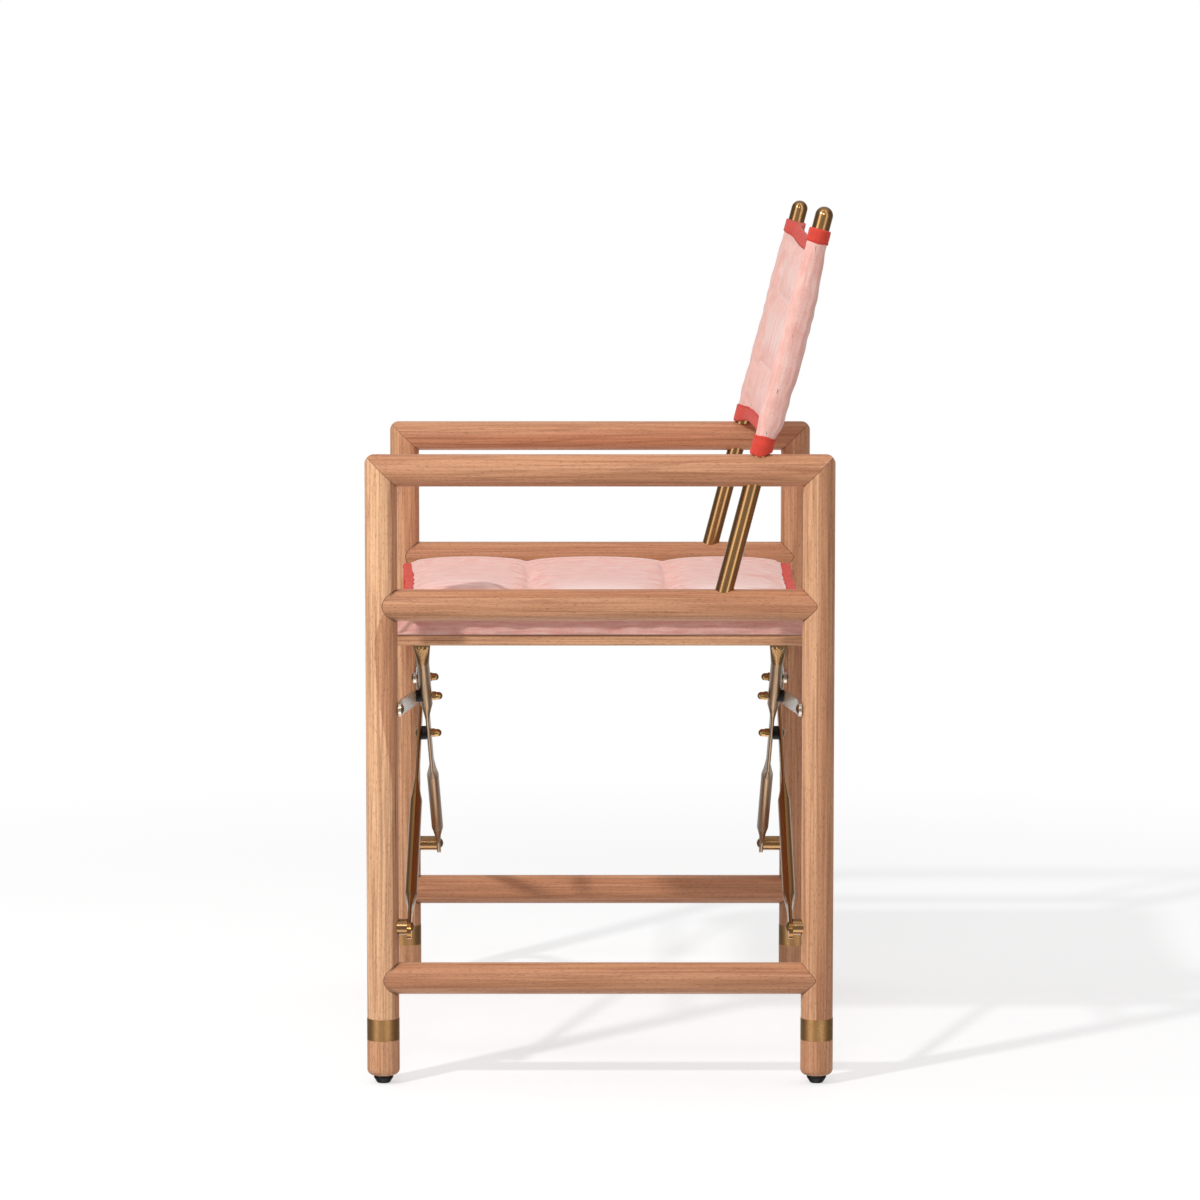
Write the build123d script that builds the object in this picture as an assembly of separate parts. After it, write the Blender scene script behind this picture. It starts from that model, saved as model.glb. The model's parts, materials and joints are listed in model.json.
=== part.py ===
from build123d import *
import os
from math import asin, cos, hypot, pi, radians, sin, sqrt, tan

# Folding chair: two round wooden side frames, bronze tube scissors between them, and a padded seat and back.
# X points to the sitter's left, Y to the rear and Z up. The origin is on the floor, under the middle.
# Sizes are in millimetres.

# Wooden side frames
WOOD = 32.0  # diameter of the legs and arm rails
RAIL = 31.6  # diameter of the seat rails and stretchers
FRAME_SPACING = 540.0  # between the middles of the two side frames
LEG_SPACING = 434.0  # front leg to rear leg
ARM_HEIGHT = 615.0  # floor to the middle of the arm rail
SEAT_RAIL_HEIGHT = 481.0
STRETCHER_HEIGHT = 105.8
CORNER_ROUND = 10.0  # upper corners in side view
DOWEL = 10.0
DOWEL_DEPTH = 18.0  # into each piece at a rail
MITRE_DOWEL_DEPTH = 12.0
FOOT_DOWEL_DEPTH = 14.0
GLUE_GAP = 0.05

# Feet
GLIDE_TALL = 8.2
GLIDE_TOP = 19.5
GLIDE_FOOT = 12.5
GLIDE_TAPER = 5.5  # height of the tapered part
GLIDE_ROUND = 1.5
GLIDE_STEM = 6.0
GLIDE_STEM_LONG = 12.0
TIP_TALL = 36.0
TIP_ROUND = 6.0
COLLAR_TALL = 21.8
COLLAR_WALL = 1.4
COLLAR_PROUD = 0.3  # beyond the leg, all round

# Back posts
POST = 17.8
POST_WALL = 1.5
POST_TILT = 14.7  # degrees from upright
POST_FROM_LEG = 62.5  # from the rear leg's middle to the post's axis, at the middle of the arm rail
POST_SOCKET = 5.0  # below the middle of the seat rail
POST_GAP = 0.1
OVERALL_HEIGHT = 875.0
TIP_SPIGOT = 14.0
TIP_SHOULDER = 1.5

# Scissor bars
PIVOT_HEIGHT = 158.0  # lower pivots
CENTRE_HEIGHT = 318.0  # crossing of the bars
FOLDED_ANGLE = 15.0  # degrees from upright when folded
TUBE = 12.7
FLAT = 4.0  # thickness where the tube is pressed flat
END_MARGIN = 14.0  # from the lower pivot to the tip of the bar
LOWER_FLAT = 22.0  # from the lower pivot
CENTRE_FLAT_BELOW = 86.0
CENTRE_FLAT_ABOVE = 50.0
SWELL = 28.0  # length in which a flat swells to the full tube
SPADE_SWELL = 26.0  # length in which the tube spreads to its level end
RUN = 0.2  # running gap at a pivot
STUB = 16.0
SHORT_STUB = 8.3  # from the face of the leg
STUB_SPIGOT = 7.0
STUB_SPIGOT_LONG = 15.0
PIVOT_SCREW_BITE = 6.9  # into the stub
SPACER = 14.5
SPACER_LONG = 5.6
BOLT = 5.0
HEAD = 10.6
HEAD_TALL = 2.8
NUT = 8.0  # across the flats
NUT_HEX = 4.0
NUT_LONG = 11.0
HOLE_GAP = 0.15  # round a bolt

# Links from the legs to the bars
LINK_ON_BAR = 97.3  # from the crossing, along the bar
LINK_WIDE = 15.0
LINK_THICK = 2.7
LINK_LEG_GAP = 0.8
LINK_LEVEL_END = 34.0  # straight stretch at each end of a stepped link
WASHER = 13.0
WASHER_LONG = 2.5
LINK_SCREW_LONG = 18.0

# Seat battens
BATTEN_INSET = 76.0  # from the middle of the side frame to the middle of the batten
BATTEN_WIDE = 20.0
BATTEN_TALL = 39.5
BATTEN_PAST_BAR = 21.5  # beyond the middle of the outer bars, at each end
BATTEN_ROUND = 3.0
GROOVE_HEIGHT = 12.0  # above the batten's underside
GROOVE_TALL = 2.8
GROOVE_DEEP = 6.0
SPADE_LONG = 16.0
SPADE_SUNK = 2.0  # how far a bar's level end is let into the batten
BATTEN_SCREW_LONG = 20.0

# Seat cloth
CLOTH = 2.2  # thickness where it is not padded
CLOTH_GAP = 0.3
POCKET_PAD = 13.0  # padding over the batten
POCKET_CROWN = 1.5  # more padding at the middle of the pocket
POCKET_SHOULDER = 8.0  # height of the pocket's rounded outer corner
SEAT_FRONT_PROUD = 4.0  # front edge beyond the batten's end, at the sides
SEAT_FRONT_DIP = 9.0  # how far the front edge is drawn in at the middle
SEAT_REAR_SHORT = 3.0  # bare batten behind the rear edge, at the sides
SEAT_REAR_DIP = 1.0
SEAT_ROWS = (0.31, 0.682)  # sewn channels, as shares of the padded depth from the front
SEAT_SAG = 9.5
SEAT_EDGE = 2.3  # half thickness at the bound edges
SEAT_SEAM = 4.2  # half thickness at the channels
SEAT_CROWN = 10.5  # above the middle of the pad, between the tufts
SEAT_BASE = 8.0  # below the middle of the pad, between the tufts
SEAT_TUFT = 7.0  # above and below, on a row of tufts
SEAT_NOSE = 4.0  # half thickness where the pad meets the batten
NOSE_CROWN = 9.5  # above the middle of the pad where it meets the batten, between the channels
TUFT_PITCH = 105.0
SEAT_BINDING = 11.0

# Back cloth
SLEEVE_WALL = 2.2
SLEEVE_CLEAR = 0.65  # between the arm rail and the lowest point of the sleeve
SLEEVE_BELOW_TIP = 22.5  # bare post above the sleeve
BACK_ROWS = (0.265, 0.68)  # sewn channels, as shares of the padded height from the bottom
BACK_TOP_DIP = 12.0
BACK_BOTTOM_RISE = 4.0
BACK_SAG = 6.0  # to the rear, at the middle
BACK_EDGE = 2.3
BACK_SEAM = 3.6
BACK_CROWN = 7.5
BACK_BASE = 6.5
BACK_TUFT = 5.2
BACK_SIDE = 3.1  # half thickness where the panel meets its sleeve
BACK_BINDING = 15.0
BINDING_PROUD = 0.6
HALF_GAP = 0.15  # from the middle line to each half of the seat or back

# Places that follow from the sizes above
frame_x = FRAME_SPACING / 2
leg_y = LEG_SPACING / 2
leg_face = leg_y - WOOD / 2
frame_top = ARM_HEIGHT + WOOD / 2
collar_bottom = GLIDE_TALL + TIP_TALL
collar_top = collar_bottom + COLLAR_TALL
collar_size = WOOD + 2 * COLLAR_PROUD
spigot_size = collar_size - 2 * COLLAR_WALL - 2 * GLUE_GAP
tilt = radians(POST_TILT)
post_way = Vector(0, sin(tilt), cos(tilt))
diagonal = sqrt(0.5)
rise = CENTRE_HEIGHT - PIVOT_HEIGHT
half_bar = hypot(frame_x, rise)
bar_cos = frame_x / half_bar
bar_sin = rise / half_bar
flat_wide = FLAT + pi * (TUBE - FLAT) / 2
outer_bar = leg_face - SHORT_STUB - RUN - FLAT / 2
inner_bar = outer_bar - FLAT - SPACER_LONG - 2 * RUN
batten_x = frame_x - BATTEN_INSET
batten_long = 2 * (outer_bar + BATTEN_PAST_BAR)
spade_top = CENTRE_HEIGHT + batten_x * rise / frame_x + FLAT / 2
batten_bottom = spade_top - SPADE_SUNK
batten_top = batten_bottom + BATTEN_TALL
hinge_x = batten_x - BATTEN_WIDE / 2
seat_side = batten_top + CLOTH_GAP + SEAT_NOSE
seat_front = batten_long / 2 + SEAT_FRONT_PROUD
seat_rear = batten_long / 2 - SEAT_REAR_SHORT
post_rear = leg_y - POST_FROM_LEG
dome_height = (OVERALL_HEIGHT - POST / 2 - ARM_HEIGHT) / cos(tilt)
post_shoulder = dome_height - TIP_SHOULDER
post_foot = (SEAT_RAIL_HEIGHT - POST_SOCKET - ARM_HEIGHT) / cos(tilt)
sleeve_bore = POST + 2 * CLOTH_GAP
sleeve_size = sleeve_bore + 2 * (SLEEVE_WALL + BINDING_PROUD)
sleeve_bottom = WOOD / 2 / cos(tilt) + sleeve_size / 2 * tan(tilt) + SLEEVE_CLEAR
sleeve_top = dome_height + POST / 2 - SLEEVE_BELOW_TIP
back_reach = frame_x - POST / 2
link_leg_plane = leg_face - LINK_LEG_GAP - LINK_THICK / 2


def link_height():
    """Height of the link pivot on the leg, which lets the link fit the bar both opened and folded."""
    part = LINK_ON_BAR / half_bar
    wide = half_bar * sin(radians(FOLDED_ANGLE))
    tall = half_bar * cos(radians(FOLDED_ANGLE))
    spread = (1 - part) ** 2 * (wide**2 - frame_x**2)
    lift = (1 + part) ** 2 * (tall**2 - rise**2)
    return PIVOT_HEIGHT + (spread + lift) / (2 * (1 + part) * (tall - rise))


def rod(start, end, diameter):
    """A round bar between two points."""
    path = Vector(*end) - Vector(*start)
    return extrude(Plane(origin=start, z_dir=path) * Circle(diameter / 2), path.length)


def along_y(x, z, start, end, diameter):
    """A round bar along Y."""
    return rod((x, start, z), (x, end, z), diameter)


def turned(points, x, y):
    """A turned piece: the outline (radius, height) spun about the upright through x, y."""
    outline = Plane.XZ * make_face(Polyline(*points, close=True))
    return Pos(x, y, 0) * revolve(outline, Axis.Z)


def post_point(distance):
    """Y and Z on the axis of a back post, that far up from the middle of the arm rail."""
    return post_rear + distance * sin(tilt), ARM_HEIGHT + distance * cos(tilt)


# Side frames
def dowel_axes(x):
    """Start and end of every hidden dowel of one side frame."""
    axes = []
    for end in (-1, 1):
        y = end * leg_y
        face = end * leg_face
        for z in (SEAT_RAIL_HEIGHT, STRETCHER_HEIGHT):
            axes.append(((x, face - end * DOWEL_DEPTH, z), (x, face + end * DOWEL_DEPTH, z)))
        reach = MITRE_DOWEL_DEPTH * diagonal
        axes.append(((x, y + end * reach, ARM_HEIGHT - reach), (x, y - end * reach, ARM_HEIGHT + reach)))
        foot = (x, y, collar_bottom - FOOT_DOWEL_DEPTH)
        axes.append((foot, (x, y, collar_bottom + FOOT_DOWEL_DEPTH)))
    return axes


def dowel_holes(x):
    return [rod(start, end, DOWEL + 2 * GLUE_GAP) for start, end in dowel_axes(x)]


def side_slab(points, x):
    """A slab of that outline in side view, with the rounded upper corners, about the middle of one frame."""
    outer = Pos(0, frame_top / 2) * Rectangle(LEG_SPACING + WOOD, frame_top)
    rounded = fillet(outer.vertices().group_by(Axis.Y)[-1], CORNER_ROUND)
    outline = rounded & make_face(Polyline(*points, close=True))
    return extrude(Plane.YZ.offset(x - WOOD) * outline, 2 * WOOD)


def leg(x, end):
    """A leg, mitred to the arm rail, with a spigot for its collar and the holes for what it carries."""
    y = end * leg_y
    outer = end * (leg_y + WOOD / 2)
    inner = end * leg_face
    body = rod((x, y, collar_top), (x, y, frame_top), WOOD)
    body &= side_slab(((outer, frame_top), (inner, frame_top - WOOD), (inner, 0), (outer, 0)), x)
    body += rod((x, y, collar_bottom), (x, y, collar_top), spigot_size)
    body -= dowel_holes(x)
    for z, size, depth in (
        (PIVOT_HEIGHT, STUB_SPIGOT, STUB_SPIGOT_LONG),
        (link_height(), BOLT, LINK_SCREW_LONG),
    ):
        body -= along_y(x, z, inner, inner + end * depth, size + 2 * GLUE_GAP)
    return body


def post_axis(x, start, end):
    """Two points on a post's axis, at those distances up from the middle of the arm rail."""
    return [(x, *post_point(distance)) for distance in (start, end)]


def arm_rail(x):
    """An arm rail, mitred at both ends, with the slanting bore for the back post."""
    outer = leg_y + WOOD / 2
    body = along_y(x, ARM_HEIGHT, -outer, outer, WOOD)
    low = frame_top - WOOD
    body &= side_slab(((-outer, frame_top), (-leg_face, low), (leg_face, low), (outer, frame_top)), x)
    return body - dowel_holes(x) - rod(*post_axis(x, -WOOD, WOOD), POST + 2 * POST_GAP)


def cross_rail(x, z):
    """A rail between the legs, its ends coped to sit round them."""
    body = along_y(x, z, -leg_y, leg_y, RAIL)
    for end in (-1, 1):
        y = end * leg_y
        body -= rod((x, y, z - WOOD), (x, y, z + WOOD), WOOD + 2 * GLUE_GAP)
    return body - dowel_holes(x)


def back_post(x):
    """The tube that carries one sleeve of the back."""
    tube = rod(*post_axis(x, post_foot, post_shoulder), POST)
    return tube - rod(*post_axis(x, post_foot, post_shoulder), POST - 2 * POST_WALL)


def post_tip(x):
    """The domed plug in the top of a post."""
    bore = POST - 2 * POST_WALL - 2 * GLUE_GAP
    plug = rod(*post_axis(x, post_shoulder - TIP_SPIGOT, post_shoulder), bore)
    plug += rod(*post_axis(x, post_shoulder, dome_height), POST)
    dome = Pos(x, *post_point(dome_height)) * Sphere(POST / 2)
    return plug + (dome - rod(*post_axis(x, post_shoulder - TIP_SPIGOT, dome_height), 2 * POST))


def foot_tip(x, y):
    """The turned wooden end below a collar."""
    radius = collar_size / 2
    body = turned(((0, GLIDE_TALL), (radius, GLIDE_TALL), (radius, collar_bottom), (0, collar_bottom)), x, y)
    body = fillet(body.edges().group_by(Axis.Z)[0], TIP_ROUND)
    stem = rod((x, y, GLIDE_TALL), (x, y, GLIDE_TALL + GLIDE_STEM_LONG), GLIDE_STEM + 2 * GLUE_GAP)
    return body - dowel_holes(x) - stem


def foot_glide(x, y):
    """The tapered foot pad with its stem."""
    wide = GLIDE_TOP / 2
    foot = GLIDE_FOOT / 2
    body = turned(((0, 0), (foot, 0), (wide, GLIDE_TAPER), (wide, GLIDE_TALL), (0, GLIDE_TALL)), x, y)
    body = fillet(body.edges().group_by(Axis.Z)[0], GLIDE_ROUND)
    return body + rod((x, y, GLIDE_TALL), (x, y, GLIDE_TALL + GLIDE_STEM_LONG), GLIDE_STEM)


def collar(x, y):
    """The metal ring between a leg and its foot tip."""
    ring = rod((x, y, collar_bottom), (x, y, collar_top), collar_size)
    return ring - rod((x, y, collar_bottom), (x, y, collar_top), collar_size - 2 * COLLAR_WALL)


# Fasteners, which all lie along Y
def button_head(x, z, seat, way):
    """A domed screw head that sits on the plane Y = seat and stands out along way."""
    half = HEAD / 2
    dome = (half**2 + HEAD_TALL**2) / (2 * HEAD_TALL)
    halfway = asin(half / dome) / 2
    on_dome = (dome * sin(halfway), HEAD_TALL - dome + dome * cos(halfway))
    outline = make_face(
        [
            Line((0, 0), (half, 0)),
            ThreePointArc((half, 0), on_dome, (0, HEAD_TALL)),
            Line((0, HEAD_TALL), (0, 0)),
        ]
    )
    head = revolve(Plane.XZ * outline, Axis.Z)
    return Plane(origin=(x, seat, z), z_dir=(0, way, 0)) * head


def cap_nut(x, z, seat, way):
    """A domed nut: a hexagon with a cap, on the plane Y = seat."""
    radius = NUT / 2
    wall = NUT_LONG - radius
    cap = make_face(
        [
            Line((0, 0), (radius, 0)),
            Line((radius, 0), (radius, wall)),
            ThreePointArc((radius, wall), (radius * diagonal, wall + radius * diagonal), (0, NUT_LONG)),
            Line((0, NUT_LONG), (0, 0)),
        ]
    )
    hexagon = extrude(RegularPolygon(NUT / 2, 6, major_radius=False), NUT_HEX)
    nut = hexagon + revolve(Plane.XZ * cap, Axis.Z)
    return Plane(origin=(x, seat, z), z_dir=(0, way, 0)) * nut


def pivot_stub(x, end, bar_y):
    """A stub that stands out from a leg and carries the flat end of a bar."""
    face = end * (bar_y + FLAT / 2 + RUN)
    body = along_y(x, PIVOT_HEIGHT, end * leg_y, face, STUB)
    body -= rod((x, end * leg_y, 0), (x, end * leg_y, 2 * PIVOT_HEIGHT), WOOD + 2 * GLUE_GAP)
    body += along_y(x, PIVOT_HEIGHT, face, end * (leg_face + STUB_SPIGOT_LONG), STUB_SPIGOT)
    return body - along_y(x, PIVOT_HEIGHT, face, face + end * PIVOT_SCREW_BITE, BOLT + 2 * GLUE_GAP)


def pivot_screw(x, end, bar_y):
    """The shouldered screw that holds a bar's flat end on its stub."""
    seat = end * (bar_y - FLAT / 2 - RUN)
    tip = end * (bar_y + FLAT / 2 + RUN + PIVOT_SCREW_BITE)
    return button_head(x, PIVOT_HEIGHT, seat, -end) + along_y(x, PIVOT_HEIGHT, seat, tip, BOLT)


def link_screw(x, end):
    """The screw that holds a link on a leg."""
    seat = end * (link_leg_plane - LINK_THICK / 2 - RUN)
    tip = end * (leg_face + LINK_SCREW_LONG)
    return button_head(x, link_height(), seat, -end) + along_y(x, link_height(), seat, tip, BOLT)


# Scissor bars: side is the frame that carries the lower end, so the bar climbs towards the other side
def bar_point(side, distance):
    """X and Z on a bar, that far up from its lower pivot."""
    return side * (frame_x - distance * bar_cos), PIVOT_HEIGHT + distance * bar_sin


def bar_plane(side, y, distance):
    """Plane square to a bar, with its x along Y."""
    x, z = bar_point(side, distance)
    return Plane(origin=(x, y, z), x_dir=(0, 1, 0), z_dir=(-side * bar_cos, 0, bar_sin))


def spade_plane(side, y):
    """Upright plane where a bar's end turns level, at the inner edge of the batten."""
    origin = (-side * hinge_x, y, spade_top - FLAT / 2)
    return Plane(origin=origin, x_dir=(0, 1, 0), z_dir=(-side, 0, 0))


def tube_outline(across, along):
    """Outline of a tube that is pressed to those two sizes."""
    small = min(across, along) / 2
    if across == along:
        cx = cy = small * diagonal
    else:
        cx = across / 2 - (small if across > along else 0)
        cy = along / 2 - (small if along > across else 0)

    def edge(start, middle, end):
        straight = start[0] == end[0] == middle[0] or start[1] == end[1] == middle[1]
        return Line(start, end) if straight else ThreePointArc(start, middle, end)

    return make_face(
        [
            edge((cx, -cy), (across / 2, 0), (cx, cy)),
            edge((cx, cy), (0, along / 2), (-cx, cy)),
            edge((-cx, cy), (-across / 2, 0), (-cx, -cy)),
            edge((-cx, -cy), (0, -along / 2), (cx, -cy)),
        ]
    )


def scissor_bar(side, y):
    """One bar: a tube pressed flat at its lower pivot and at the crossing, and sideways at its upper end."""
    upright = tube_outline(FLAT, flat_wide)
    round_tube = tube_outline(TUBE, TUBE)
    level = spade_plane(side, y) * tube_outline(flat_wide, FLAT)
    top = (hinge_x + frame_x) / bar_cos
    stations = (
        (0, upright),
        (LOWER_FLAT, upright),
        (LOWER_FLAT + SWELL, round_tube),
        (half_bar - CENTRE_FLAT_BELOW - SWELL, round_tube),
        (half_bar - CENTRE_FLAT_BELOW, upright),
        (half_bar + CENTRE_FLAT_ABOVE, upright),
        (half_bar + CENTRE_FLAT_ABOVE + SWELL, round_tube),
        (top - SPADE_SWELL, round_tube),
    )
    sections = [bar_plane(side, y, distance) * outline for distance, outline in stations]
    body = loft([*sections, level], ruled=True) + extrude(level, SPADE_LONG)
    end_round = flat_wide / 2 - END_MARGIN
    body += extrude(bar_plane(side, y, end_round) * upright, -end_round)
    body += along_y(*bar_point(side, end_round), y - FLAT / 2, y + FLAT / 2, flat_wide)
    for distance in (0, half_bar, half_bar + LINK_ON_BAR):
        body -= along_y(*bar_point(side, distance), y - TUBE, y + TUBE, BOLT + 2 * HOLE_GAP)
    screw = (-side * batten_x, y)
    return body - rod((*screw, spade_top - FLAT), (*screw, spade_top), BOLT + 2 * HOLE_GAP)


def centre_pivot(end):
    """Bolt, spacer and nut where two bars cross."""
    head_seat = end * (outer_bar + FLAT / 2)
    nut_seat = end * (inner_bar - FLAT / 2 - RUN)
    place = (0, CENTRE_HEIGHT)
    bolt = button_head(*place, head_seat, end)
    bolt += along_y(*place, head_seat, nut_seat - end * NUT_HEX, BOLT)
    near = end * (outer_bar - FLAT / 2)
    far = near - end * SPACER_LONG
    spacer = along_y(*place, near, far, SPACER) - along_y(*place, near, far, BOLT + 2 * HOLE_GAP)
    nut = cap_nut(*place, nut_seat, -end)
    nut -= along_y(*place, nut_seat, nut_seat - end * NUT_HEX, BOLT + 2 * GLUE_GAP)
    return bolt, spacer, nut


# Links: side is the frame whose leg carries the link
def link_end(side):
    """X and Z of a link's pivot on the bar."""
    return bar_point(-side, half_bar + LINK_ON_BAR)


def link_bar_plane(side):
    """Middle of a link's thickness where it meets the bar; only the left links have a washer there."""
    if side > 0:
        return inner_bar + TUBE / 2 + WASHER_LONG + RUN + LINK_THICK / 2
    return link_leg_plane


def link(side, end):
    """A flat strip from the leg to the bar, stepped where the bar lies further in than the leg."""
    leg_place = Vector(side * frame_x, 0, link_height())
    bar_place = Vector(link_end(side)[0], 0, link_end(side)[1])
    way = (bar_place - leg_place).normalized()
    length = (bar_place - leg_place).length
    near = end * link_leg_plane
    far = end * link_bar_plane(side)
    bends = [(LINK_LEVEL_END, near), (length - LINK_LEVEL_END, far)] if near != far else []
    path = Polyline((-LINK_WIDE / 2, near), *bends, (length + LINK_WIDE / 2, far))
    strip = offset(path, LINK_THICK / 2, side=Side.BOTH, kind=Kind.INTERSECTION)
    top_view = Plane(origin=leg_place, x_dir=way, z_dir=way.cross(Vector(0, 1, 0)))
    body = extrude(top_view * make_face(strip), LINK_WIDE / 2, both=True)
    slot = Plane(origin=leg_place, x_dir=way, z_dir=(0, -1, 0))
    outline = slot * (Pos(length / 2, 0) * SlotCenterToCenter(length, LINK_WIDE))
    body &= extrude(outline, 2 * leg_y, both=True)
    for place in (leg_place, bar_place):
        body -= along_y(place.X, place.Z, -leg_y, leg_y, BOLT + 2 * HOLE_GAP)
    return body


def link_bolt(side, end):
    """The head of a link's bolt, with the length of shank that lies in the link."""
    place = link_end(side)
    outside = end * (link_bar_plane(side) + LINK_THICK / 2)
    inside = end * (link_bar_plane(side) - LINK_THICK / 2)
    return button_head(*place, outside, end) + along_y(*place, outside, inside, BOLT)


def link_nut(side, end):
    """The nut of a link's bolt, with the length of shank that lies in the bar."""
    place = link_end(side)
    bar_y = inner_bar if side > 0 else outer_bar
    inside = end * (link_bar_plane(side) - LINK_THICK / 2 - RUN)
    nut_seat = end * (bar_y - TUBE / 2)
    return cap_nut(*place, nut_seat, -end) + along_y(*place, nut_seat, inside, BOLT)


def link_washer(end):
    """The thick washer between a left link and its bar, hollowed to sit on the tube."""
    place = link_end(1)
    outside = end * (inner_bar + TUBE / 2 + WASHER_LONG)
    body = along_y(*place, end * inner_bar, outside, WASHER)
    low = bar_point(-1, half_bar)
    high = bar_point(-1, half_bar + 2 * LINK_ON_BAR)
    y = end * inner_bar
    body -= rod((low[0], y, low[1]), (high[0], y, high[1]), TUBE + 2 * GLUE_GAP)
    body &= along_y(*place, end * (inner_bar + TUBE / 4), outside, WASHER)
    return body - along_y(*place, end * inner_bar, outside, BOLT + 2 * HOLE_GAP)


# Seat battens and the pockets over them
def batten(side):
    """A seat batten with the groove that holds the cloth's edge and housings for the ends of the bars."""
    middle = (side * batten_x, 0, batten_bottom + BATTEN_TALL / 2)
    body = Pos(*middle) * Box(BATTEN_WIDE, batten_long, BATTEN_TALL)
    body = fillet(body.edges().filter_by(Axis.Y), BATTEN_ROUND)
    outer = side * (batten_x + BATTEN_WIDE / 2 - GROOVE_DEEP / 2)
    body -= Pos(outer, 0, batten_bottom + GROOVE_HEIGHT) * Box(GROOVE_DEEP, batten_long, GROOVE_TALL)
    long = SPADE_LONG + GLUE_GAP
    wide = flat_wide + 2 * GLUE_GAP
    for y in spade_places(side):
        housing = (side * (hinge_x + long / 2), y, spade_top - SPADE_SUNK / 2)
        body -= Pos(*housing) * Box(long, wide, SPADE_SUNK)
        screw = (side * batten_x, y)
        body -= rod((*screw, spade_top), (*screw, spade_top + BATTEN_SCREW_LONG), BOLT + 2 * GLUE_GAP)
    return body


def spade_places(side):
    """Y of the two bars that end under the batten on that side."""
    bar_y = inner_bar if side > 0 else outer_bar
    return -bar_y, bar_y


def batten_screw(side, y):
    """A screw up through a bar's level end into the batten."""
    low = spade_top - FLAT
    head = Cylinder(HEAD / 2, HEAD_TALL)
    head = chamfer(head.edges().group_by(Axis.Z)[0], HEAD_TALL / 3)
    place = (side * batten_x, y)
    body = Pos(*place, low - HEAD_TALL / 2) * head
    return body + rod((*place, low), (*place, low + FLAT + BATTEN_SCREW_LONG), BOLT)


def batten_pocket(side):
    """The cloth over a batten: padded on top, flat down the outer face, and tucked into the groove."""
    inner = hinge_x + SEAT_NOSE + 2 * CLOTH_GAP
    outer = batten_x + BATTEN_WIDE / 2 + CLOTH_GAP
    skin = outer + CLOTH
    low = batten_top + CLOTH_GAP
    high = low + POCKET_PAD
    tuck_top = batten_bottom + GROOVE_HEIGHT + GROOVE_TALL / 2 - CLOTH_GAP
    tuck_bottom = batten_bottom + GROOVE_HEIGHT - GROOVE_TALL / 2 + CLOTH_GAP
    deep = outer - GROOVE_DEEP
    crown = ((inner + outer) / 2, high + POCKET_CROWN)
    outline = make_face(
        [
            Polyline((inner, high), (inner, low), (outer, low), (outer, tuck_top), (deep, tuck_top)),
            Polyline((deep, tuck_top), (deep, tuck_bottom), (skin, tuck_bottom), (skin, low)),
            ThreePointArc((skin, low), (outer, low + POCKET_SHOULDER), crown),
            Line(crown, (inner, high)),
        ]
    )
    section = Plane(origin=(0, 0, 0), x_dir=(side, 0, 0), z_dir=(0, -side, 0))
    middle = (seat_rear - seat_front) / 2
    return Pos(0, middle, 0) * extrude(section * outline, (seat_front + seat_rear) / 2, both=True)


# Quilted seat and back
def quilt_rows(reach):
    """Places across half a quilt: the rows of tufts, marked True, and the crowns between them."""
    tufts = [HALF_GAP]
    while tufts[-1] + TUFT_PITCH < reach - TUFT_PITCH / 4:
        tufts.append(len(tufts) * TUFT_PITCH)
    rows = []
    for here, beyond in zip(tufts, [*tufts[1:], reach]):
        rows += [(here, True), ((here + beyond) / 2, False)]
    return rows


def padded_stops(low, high, shares):
    """Places of the bound edges and of the channels between them."""
    return low, *[low + share * (high - low) for share in shares], high


def quilt_section(plane, stops, half_edge, half_seam, crown, base):
    """Section through the padded cells between the stops, with their crowns above and below."""
    heights = (half_edge, half_seam, half_seam, half_edge)
    cells = range(len(stops) - 1)

    def cell(first, last, sign, peak):
        start = (stops[first], sign * heights[first])
        end = (stops[last], sign * heights[last])
        return ThreePointArc(start, ((start[0] + end[0]) / 2, sign * peak), end)

    upper = [cell(i, i + 1, 1, crown) for i in cells]
    lower = [cell(i + 1, i, -1, base) for i in reversed(cells)]
    ends = [Line((stop, half_edge), (stop, -half_edge)) for stop in (stops[0], stops[-1])]
    return plane * make_face(upper + lower + ends)


def binding_section(plane, edge, inside, half):
    """Section through a folded tape between a pad's edge and its free rounded fold."""
    way = 1 if inside > edge else -1
    return plane * make_face(
        [
            Line((inside, -half), (inside, half)),
            Line((inside, half), (edge + way * half, half)),
            ThreePointArc((edge + way * half, half), (edge, 0), (edge + way * half, -half)),
            Line((edge + way * half, -half), (inside, -half)),
        ]
    )


def bowed(x, reach, at_side, at_middle):
    """A size that runs in a curve from its value at the middle to its value at the side."""
    return at_middle + (at_side - at_middle) * (x / reach) ** 2


def seat_plane(side, x):
    """Plane across the seat, with its x to the rear and its y up, at the height of the sagging pad."""
    height = bowed(x, hinge_x, seat_side, seat_side - SEAT_SAG)
    return Plane(origin=(side * x, 0, height), x_dir=(0, 1, 0), z_dir=(1, 0, 0))


def seat_edges(x):
    """Y of the seat's front and rear edges."""
    front = bowed(x, hinge_x, -seat_front, -seat_front + SEAT_FRONT_DIP)
    return front, bowed(x, hinge_x, seat_rear, seat_rear - SEAT_REAR_DIP)


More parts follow.
